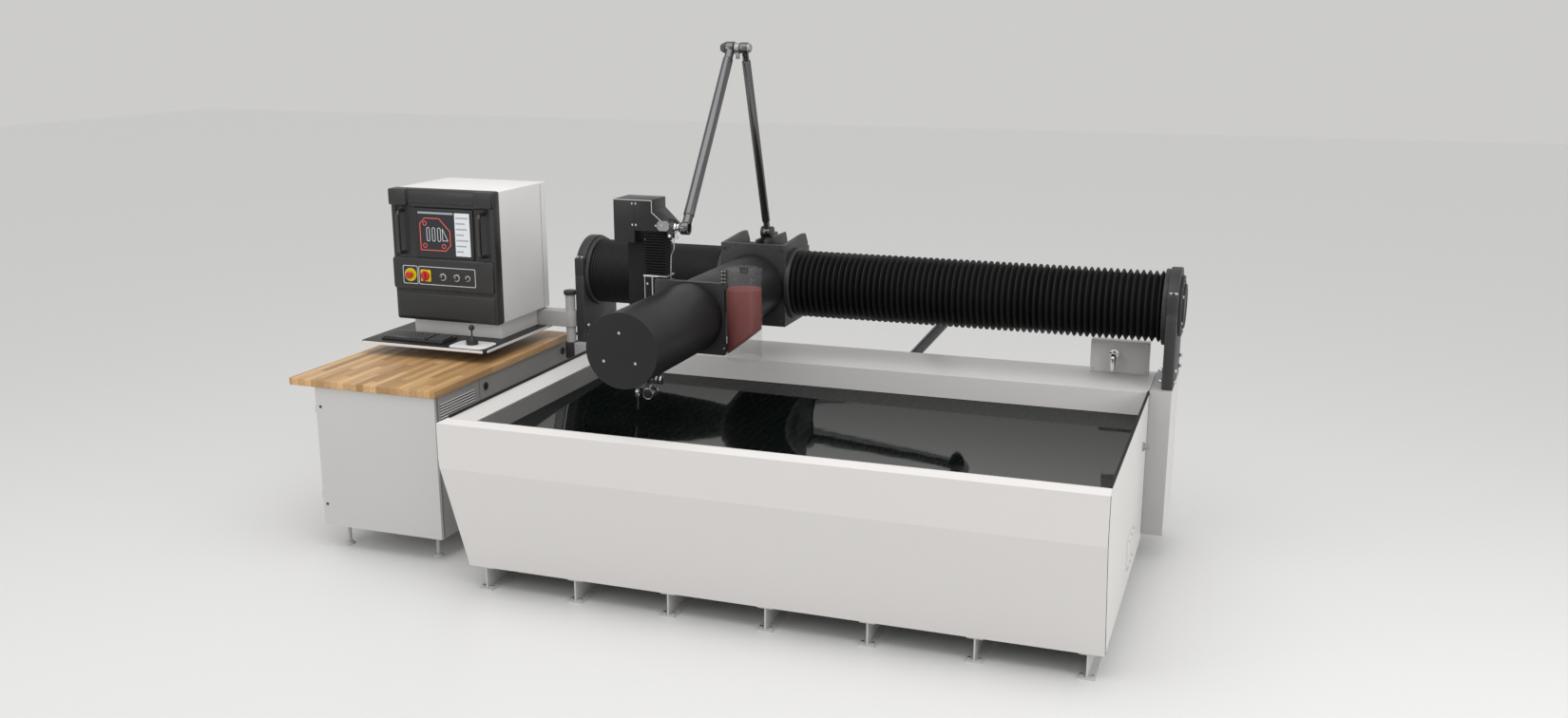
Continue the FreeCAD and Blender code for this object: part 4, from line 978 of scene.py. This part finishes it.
def folding_tubes():
    dressed("lower_tube", "lower_folding_tube", "lower_tube_link", TUBE_GREY, "dark_paint", 1.5)
    dressed("upper_tube", "upper_folding_tube", "upper_tube_link", TUBE_GREY, "dark_paint", 1.5)
    dressed("rear_lower_tube", "rear_fixed_tube", "base", TUBE_GREY, "dark_paint", 2.0)
    dressed("rear_upper_tube", "rear_sloping_tube", "base", TUBE_GREY, "dark_paint", 2.0)
    for name, x, radius, foot, head in (("lower", 1045, 23.5, FOOT_JOINT, APEX_JOINT),
                                        ("upper", 966, 28, APEX_JOINT, HEAD_JOINT)):
        across = Vector((x, 0, 0))
        along = (head - foot).normalized() * SLEEVE_START
        sleeve = rod(name + "_tube_sleeve", foot + along + across, head - along + across, radius, 64)
        finished(eased(sleeve, 5, 3), name + "_tube_link", TUBE_GREY, "dark_paint")
    y, z = APEX_JOINT.y, APEX_JOINT.z
    hub = bevelled(rod("apex_hub", (991, y, z), (1020, y, z), 27, 64), 3, 3)
    cap = bevelled(rod("apex_cap", (1065.5, y, z), (1082, y, z), 29, 64, 20), 3, 3)
    nut = bevelled(rod("apex_nut", (1006, y, z - 24), (1006, y, z - 58), 12, 6), 1.5, 2)
    hub = joined("lower_apex_fittings", [hub, cap, nut])
    finished(shaded(hub, 30), "lower_tube_link", GREY_METAL, "dark_paint")
    flare = bevelled(rod("upper_apex_cap", (941.5, y, z), (910, y, z), 33, 64, 20), 4, 3)
    finished(shaded(flare), "upper_tube_link", TUBE_GREY, "dark_paint")


# Fill box at the right rear

FILL_X = 3020
FILL_Y = 2060
FILL_Z = 1036


def fill_pieces():
    dressed("fill_box", "fill_box_cover", "base", WHITE, "grey_paint", 2.0, 3)
    bends = [(FILL_Y, FILL_Z), (2028, FILL_Z), (1996, FILL_Z), (1996, 1000), (1996, 956)]
    pipe = bent_bar("fill_elbow", [(FILL_X, y, z) for y, z in bends], 17, 32)
    finished(pipe, "base", CHROME, "chrome_pipe", "fill_pipe")
    collar = rod("fill_collar", (FILL_X, FILL_Y, FILL_Z), (FILL_X, FILL_Y - 8, FILL_Z), 26)
    finished(eased(collar, 2), "base", CHROME, "chrome_pipe")
    places = [(x, FILL_Y, z) for z in (1092, 945) for x in (2905, 3193)]
    steel_bolts("fill_box_screws", places, (0, -1, 0), 6, 3)


# Cabinet

CABINET_RIGHT = -252
LOUVRE_TOP = 864
LOUVRE_PITCH = 15
LOUVRE_COUNT = 14


def cabinet_pieces():
    # The shell takes the darker grey: painted shade on its side next to the tank
    dressed("cabinet_body", "cabinet_shell", "base", CABINET_SHADED_SIDE, "grey_paint", 2.0, smooth=20)
    dressed("cabinet_door", "cabinet_front_door", "door", CABINET, "grey_paint", 2.0, smooth=20)
    feet = []
    for x in (-910, -342):
        for y in (462, 1760):
            feet.append(bevelled(rod("foot_stem", (x, y, 9), (x, y, 132), 10, 32), 1, 2))
            feet.append(bevelled(rod("foot_pad", (x, y, 0), (x, y, 12), 27, 48, 20), 1.5, 2))
    finished(shaded(joined("levelling_feet", feet)), "base", LIGHT_GREY, "grey_paint", "cabinet_feet")
    dressed("door_hinges", "hinge_leaves", "base", STEEL, "bright_steel", 0.8)
    dressed("wood_top", "butcher_block_top", "base", WOOD, "butcher_block", 4.0, 4)
    side = CABINET_RIGHT
    heights = [LOUVRE_TOP - LOUVRE_PITCH * i for i in range(LOUVRE_COUNT)]
    # Painted highlight: the louvre fins take the paler console white, lighter than the shell's grey, for the
    # light on them
    slots = [bevelled(block("louvre", (side - 0.5, 420, z), (side + 3, 760, z + 6)), 1.2, 1) for z in heights]
    finished(joined("cabinet_louvres_painted_highlight", slots), "base", CONSOLE_WHITE, "grey_paint")
    # Painted shade: black strips stand for the shade in the slots between the fins
    shaded_gaps = [bevelled(block("gap", (side - 0.3, 420, z - 6), (side + 1.4, 760, z)), 0.4, 1) for z in heights]
    finished(joined("louvre_gaps_painted_shade", shaded_gaps), "base", RUBBER, "black_rubber")
    for name, y in (("front_plug", 874), ("rear_plug", 1771)):
        plug = rod("cabinet_" + name, (side, y, 858), (side + 6, y, 858), 22, 32)
        finished(eased(plug, 2), "base", RUBBER, "black_rubber")
    for name, low, high in (("cabinet_side_seam", (side - 0.4, 810, 134), (side + 0.6, 813, 914)),
                            ("cabinet_door_seam", (side - 3.5, 398.6, 134), (side + 0.2, 400.6, 914))):
        finished(bevelled(block(name, low, high), 0.4, 1), "base", RUBBER, "black_rubber")
    plugs = bolts("door_plugs", [(-968, 372, 805), (-972, 372, 253)], (0, -1, 0), 8, 3)
    finished(plugs, "door", BLACK, "dark_paint")


# Console

POST_X = -152
POST_Y = 1705


def console_shell():
    dressed("console_box", "console_housing", "console", CONSOLE_WHITE, "white_paint", 7.0, 4, 40)
    dressed("swing_arm", "swing_arm_box", "console", LIGHT_GREY, "grey_paint", 3.0, 3)
    post = rod("swing_pillar", (POST_X, POST_Y, 900), (POST_X, POST_Y, 1228), 29, 96)
    finished(shaded(post), "base", LIGHT_GREY, "grey_paint", "swing_post")
    seam = bevelled(block("console_side_seam", (-319, 1688, 1046), (-317.4, 1690.5, 1884)), 0.4, 1)
    finished(seam, "console", RUBBER, "black_rubber")
    cap = rod("pillar_cap", (POST_X, POST_Y, 1228), (POST_X, POST_Y, 1254), 38, 64)
    finished(eased(cap, 5, 4), "base", BLACK, "dark_plastic")
    collar = block("pillar_bracket", (POST_X, POST_Y - 38, 840), (LEFT_BRACKET[0], POST_Y + 38, 940))
    ring = rod("pillar_ring", (POST_X, POST_Y, 840), (POST_X, POST_Y, 940), 38, 64)
    bracket = joined("pillar_bracket", [bevelled(collar, 2), bevelled(ring, 2)])
    finished(shaded(bracket), "base", BLACK, "dark_paint")


BEZEL_LEFT = -989
BEZEL_RIGHT = -314
BEZEL_FRONT = 1150
CONTROL_FRONT = 1138
STOP_X = -870
SWITCH_X = -770
CONTROL_Z = 1403


def console_bezel_pieces():
    left, right, front = BEZEL_LEFT, BEZEL_RIGHT, BEZEL_FRONT
    bezel = bevelled(block("bezel_frame", (left, front, 1136), (right, front + 70, 1897)), 14, 4, 60)
    upper = block("screen_well", (-960, front - 20, 1488), (-343, front + 14, 1800))
    lower = block("seam_well", (-1000, front - 20, 1308), (-300, front + 6, 1312))
    cut(cut(bezel, bevelled(upper, 18, 4)), lower)
    finished(shaded(bezel), "console", PLASTIC, "dark_plastic", "console_bezel")
    bumpers = [bevelled(block("bumper", (x, front - 22, 1802), (x + 117, front + 30, 1896)), 11, 4, 60)
               for x in (left, right - 117)]
    brow = block("brow", (-880, front - 8, 1816), (-424, front + 20, 1884))
    shell = joined("bezel_bumpers", bumpers + [bevelled(brow, 8, 3, 60)])
    finished(shaded(shell, 40), "console", PLASTIC, "dark_plastic")
    panel = rounded_plate("control_panel", (left, CONTROL_FRONT, 1318), (-330, front + 20, 1502), 16, 1, 2)
    finished(eased(panel, 7, 3, 60, smooth=40), "console", PLASTIC, "dark_plastic")
    skirt = block("bezel_skirt", (left + 14, front - 6, 1146), (right - 14, front + 20, 1300))
    finished(eased(skirt, 16, 4, 60, smooth=40), "console", PLASTIC, "dark_plastic")


def handles():
    front, root, back = BEZEL_FRONT - 42, BEZEL_FRONT - 8, BEZEL_FRONT + 16
    bends = [(back, 1530), (root, 1530), (front, 1534), (front, 1572), (front, 1650), (front, 1728),
             (front, 1766), (root, 1770), (back, 1770)]
    for side, x in (("left", -915), ("right", -388)):
        bar = bent_bar(side + "_console_handle", [(x, y, z) for y, z in bends], 11)
        finished(bar, "console", GLOSS_BLACK, "dark_plastic")


def drawn_line(points, y, radius=1.9):
    """Thin bars along a closed line of points in X and Z."""
    return [rod("drawn_line", (x0, y, z0), (x1, y, z1), radius, 8)
            for (x0, z0), (x1, z1) in zip(points, points[1:] + points[:1])]


def drawn_slot(x, z, half, radius):
    """The points of an upright slot."""
    ends = [(90 + 30 * i, half) for i in range(-3, 4)] + [(270 + 30 * i, -half) for i in range(-3, 4)]
    return [(x + radius * math.cos(math.radians(turn)), z + rise + radius * math.sin(math.radians(turn)))
            for turn, rise in ends]


def screen():
    """A bright panel with a plain drawing of a cut part: a bracket with slots and holes."""
    y = BEZEL_FRONT + 12
    frame_piece = block("screen_frame", (-836, y - 6, 1500), (-456, y + 4, 1788))
    panelled(frame_piece, (0, -1, 0), 12, -4)
    finished(eased(frame_piece, 1.5, 2), "console", KEYS, "dark_plastic")
    glass = block("screen_panel", (-823, y - 4, 1512), (-469, y - 2.5, 1776))
    finished(bevelled(glass, 0.5, 1), "console", SCREEN_DARK, "dark_plastic")
    x, z = -706, 1640
    plate = [(x - 98, z - 92), (x + 66, z - 92), (x + 98, z - 60), (x + 98, z + 20), (x + 30, z + 92),
             (x - 66, z + 92), (x - 98, z + 60)]
    lines = drawn_line(plate, y - 4.2)
    for dx, dz in ((-70, -66), (54, -66), (-66, 62)):
        lines += drawn_line(drawn_slot(x + dx, z + dz, 0, 12), y - 4.2, 1.6)
    finished(joined("drawn_part", lines), "console", SCREEN_RED, "red_plastic")
    slots = []
    for dx in (-46, -10, 26):
        slots += drawn_line(drawn_slot(x + dx, z, 30, 9), y - 4.2, 1.6)
    slots += drawn_line([(x + 48, z - 34), (x + 82, z - 34), (x + 48, z + 34)], y - 4.2, 1.6)
    finished(joined("drawn_slots", slots), "console", SCREEN_PALE, "white_paint")
    side = bevelled(block("screen_side_panel", (-575, y - 4.6, 1522), (-478, y - 4, 1768)), 0.2, 1)
    finished(side, "console", SCREEN_PALE, "white_paint")
    rows = []
    for i, length in enumerate((82, 60, 72, 50, 80, 64, 44)):
        top = 1745 - 32 * i
        rows.append(bevelled(block("row", (-568, y - 5, top - 9), (-568 + length, y - 4.5, top)), 0.2, 1))
    rows.append(bevelled(block("row", (-815, y - 4.6, 1757), (-585, y - 4, 1768)), 0.2, 1))
    finished(joined("screen_rows", rows), "console", SCREEN_GREY, "grey_paint")


def outline_frame(x0, x1, z0, z1):
    """A thin pale line with round corners round a group of controls."""
    sheet = rounded_plate("line", (x0, CONTROL_FRONT - 0.8, z0), (x1, CONTROL_FRONT + 1, z1), 9)
    low = (x0 + 3.5, CONTROL_FRONT - 3, z0 + 3.5)
    high = (x1 - 3.5, CONTROL_FRONT + 3, z1 - 3.5)
    return cut(sheet, rounded_plate("hole", low, high, 6))


def console_controls():
    front = CONTROL_FRONT
    frames = [outline_frame(-922, -823, 1350, 1456), outline_frame(-817, -444, 1350, 1456)]
    finished(joined("control_outlines", frames), "console", PALE_LINE, "white_paint")
    ring = rod("stop_ring", (STOP_X, front - 6, CONTROL_Z), (STOP_X, front, CONTROL_Z), 38, 64)
    panelled(ring, (0, -1, 0), 8, -2)
    finished(eased(ring, 1.5, 2), "console", YELLOW, "red_plastic")
    plate = rounded_plate("switch_plate", (-802, front - 5, 1369), (-736, front, 1437), 5)
    finished(bevelled(plate, 1.2, 2), "console", YELLOW, "red_plastic")
    mushroom = rod("stop_head", (STOP_X, 1108, CONTROL_Z), (STOP_X, 1122, CONTROL_Z), 21, 64)
    neck = rod("stop_neck", (STOP_X, 1121, CONTROL_Z), (STOP_X, 1140, CONTROL_Z), 15)
    button = joined("stop_mushroom_head", [bevelled(mushroom, 6, 5), neck])
    finished(shaded(button), "stop_mushroom", RED, "red_plastic", "stop_button")
    body = rod("switch_body", (SWITCH_X, 1121, CONTROL_Z), (SWITCH_X, 1136, CONTROL_Z), 26, 64)
    bar = block("switch_bar", (SWITCH_X - 8, 1110, CONTROL_Z - 30), (SWITCH_X + 8, 1123, CONTROL_Z + 30))
    knob = joined("main_switch_knob", [bevelled(body, 3, 3), bevelled(bar, 4, 3)])
    finished(shaded(knob), "switch_knob", RED, "red_plastic", "main_switch")
    bases, grips, marks = [], [], []
    for x, radius in ((-656, 21), (-566, 21), (-494, 17)):
        base = rod("knob_base", (x, front - 6, 1400), (x, front + 1, 1400), radius, 48)
        panelled(base, (0, -1, 0), radius * 0.22, -2)
        bases.append(bevelled(base, 1, 2))
        grip = rod("knob_grip", (x, front - 20, 1400), (x, front - 3, 1400), radius * 0.62, 32)
        grips.append(bevelled(grip, 2.5, 3))
        mark = block("knob_mark", (x - 1.5, front - 20.6, 1400), (x + 1.5, front - 19.5, 1400 + radius * 0.5))
        marks.append(bevelled(mark, 0.3, 1))
    for name, pieces, material, slot in (("knob_rings", bases, LIGHT_GREY, "grey_paint"),
                                         ("knob_grips", grips, KEYS, "dark_plastic"),
                                         ("knob_marks", marks, PALE_LINE, "white_paint")):
        finished(shaded(joined(name, pieces)), "console", material, slot)


TRAY_TOP = 1035
KEYS_LEFT = -1012
KEY_PITCH = 18.6
ROW_PITCH = 24.5
ROW_RISE = 0.8


def tray_pieces():
    board = rounded_plate("tray_board", (-1115, 955, 1020), (-292, 1765, TRAY_TOP), 16, 2, 1)
    finished(eased(board, 1.5, 2, smooth=30), "console", KEYS, "dark_plastic", "keyboard_tray")
    edges = [block("tray_edge", (-1098, 951, 1019), (-309, 955.6, 1034)),
             block("tray_edge", (-292.6, 973, 1019), (-288.5, 1748, 1034))]
    edges = joined("tray_edges", [bevelled(edge, 1.2, 2) for edge in edges])
    finished(edges, "console", CONSOLE_WHITE, "white_paint")
    board = block("keyboard_body", (KEYS_LEFT, 1012, TRAY_TOP), (KEYS_LEFT + 405, 1172, TRAY_TOP + 16))
    finished(eased(board, 4, 3, smooth=30), "console", KEYS, "dark_plastic", "desk_controls")
    keys = []
    left = KEYS_LEFT + 9
    low, high = (1020, TRAY_TOP + 15), (1038, TRAY_TOP + 24)
    first = bevelled(block("key", (left, *low), (left + 15.5, *high)), 3)
    for row in range(6):
        for column in range(21):
            if column == 15 or (row == 0 and 3 < column < 10):
                continue
            keys.append(copied(first, "key_more", (column * KEY_PITCH, row * ROW_PITCH, row * ROW_RISE)))
    space = block("space_key", (left + 4 * KEY_PITCH, *low), (left + 9.8 * KEY_PITCH, *high))
    keys.append(bevelled(space, 3))
    bpy.data.objects.remove(first)
    finished(shaded(joined("keyboard_keys", keys), 30), "console", KEY_TOPS, "dark_plastic")
    pad = rounded_plate("joystick_pad", (-552, 966, TRAY_TOP), (-318, 1148, TRAY_TOP + 4), 45, 2, 8)
    finished(eased(pad, 1.2, 2), "console", CONSOLE_WHITE, "white_paint")


def joystick():
    x, y, z = -441, 1063, TRAY_TOP + 4
    base = rod("stick_base", (x, y, z), (x, y, z + 24), 34, 64)
    panelled(base, (0, 0, 1), 8, 5)
    bevelled(base, 2, 3)
    boot = rod("stick_boot", (x, y, z + 28), (x, y, z + 48), 22, 48, 7)
    stem = rod("stick_stem", (x, y, z + 44), (x, y, z + 92), 4.5, 24)
    nothing_selected()
    place = at((x, y, z + 96))
    bpy.ops.mesh.primitive_uv_sphere_add(segments=40, ring_count=20, radius=17 * MM, location=place)
    ball = settled(named("stick_ball"))
    stick = joined("joystick", [base, boot, stem, ball])
    finished(shaded(stick, 40), "console", KEYS, "dark_plastic")


tank_sheets()
water_surface()
foot_beam_pieces()
wall_plate_and_hose_fitting()
bridge_columns_and_clamps()
beam_bellows()
carriage_pieces()
arm_pieces()
head_carriage_pieces()
swivel_pieces()
box_bellows()
ram_pieces()
cutting_head_pieces()
hopper_pieces()
folding_tubes()
fill_pieces()
cabinet_pieces()
console_shell()
console_bezel_pieces()
handles()
screen()
console_controls()
tray_pieces()
joystick()
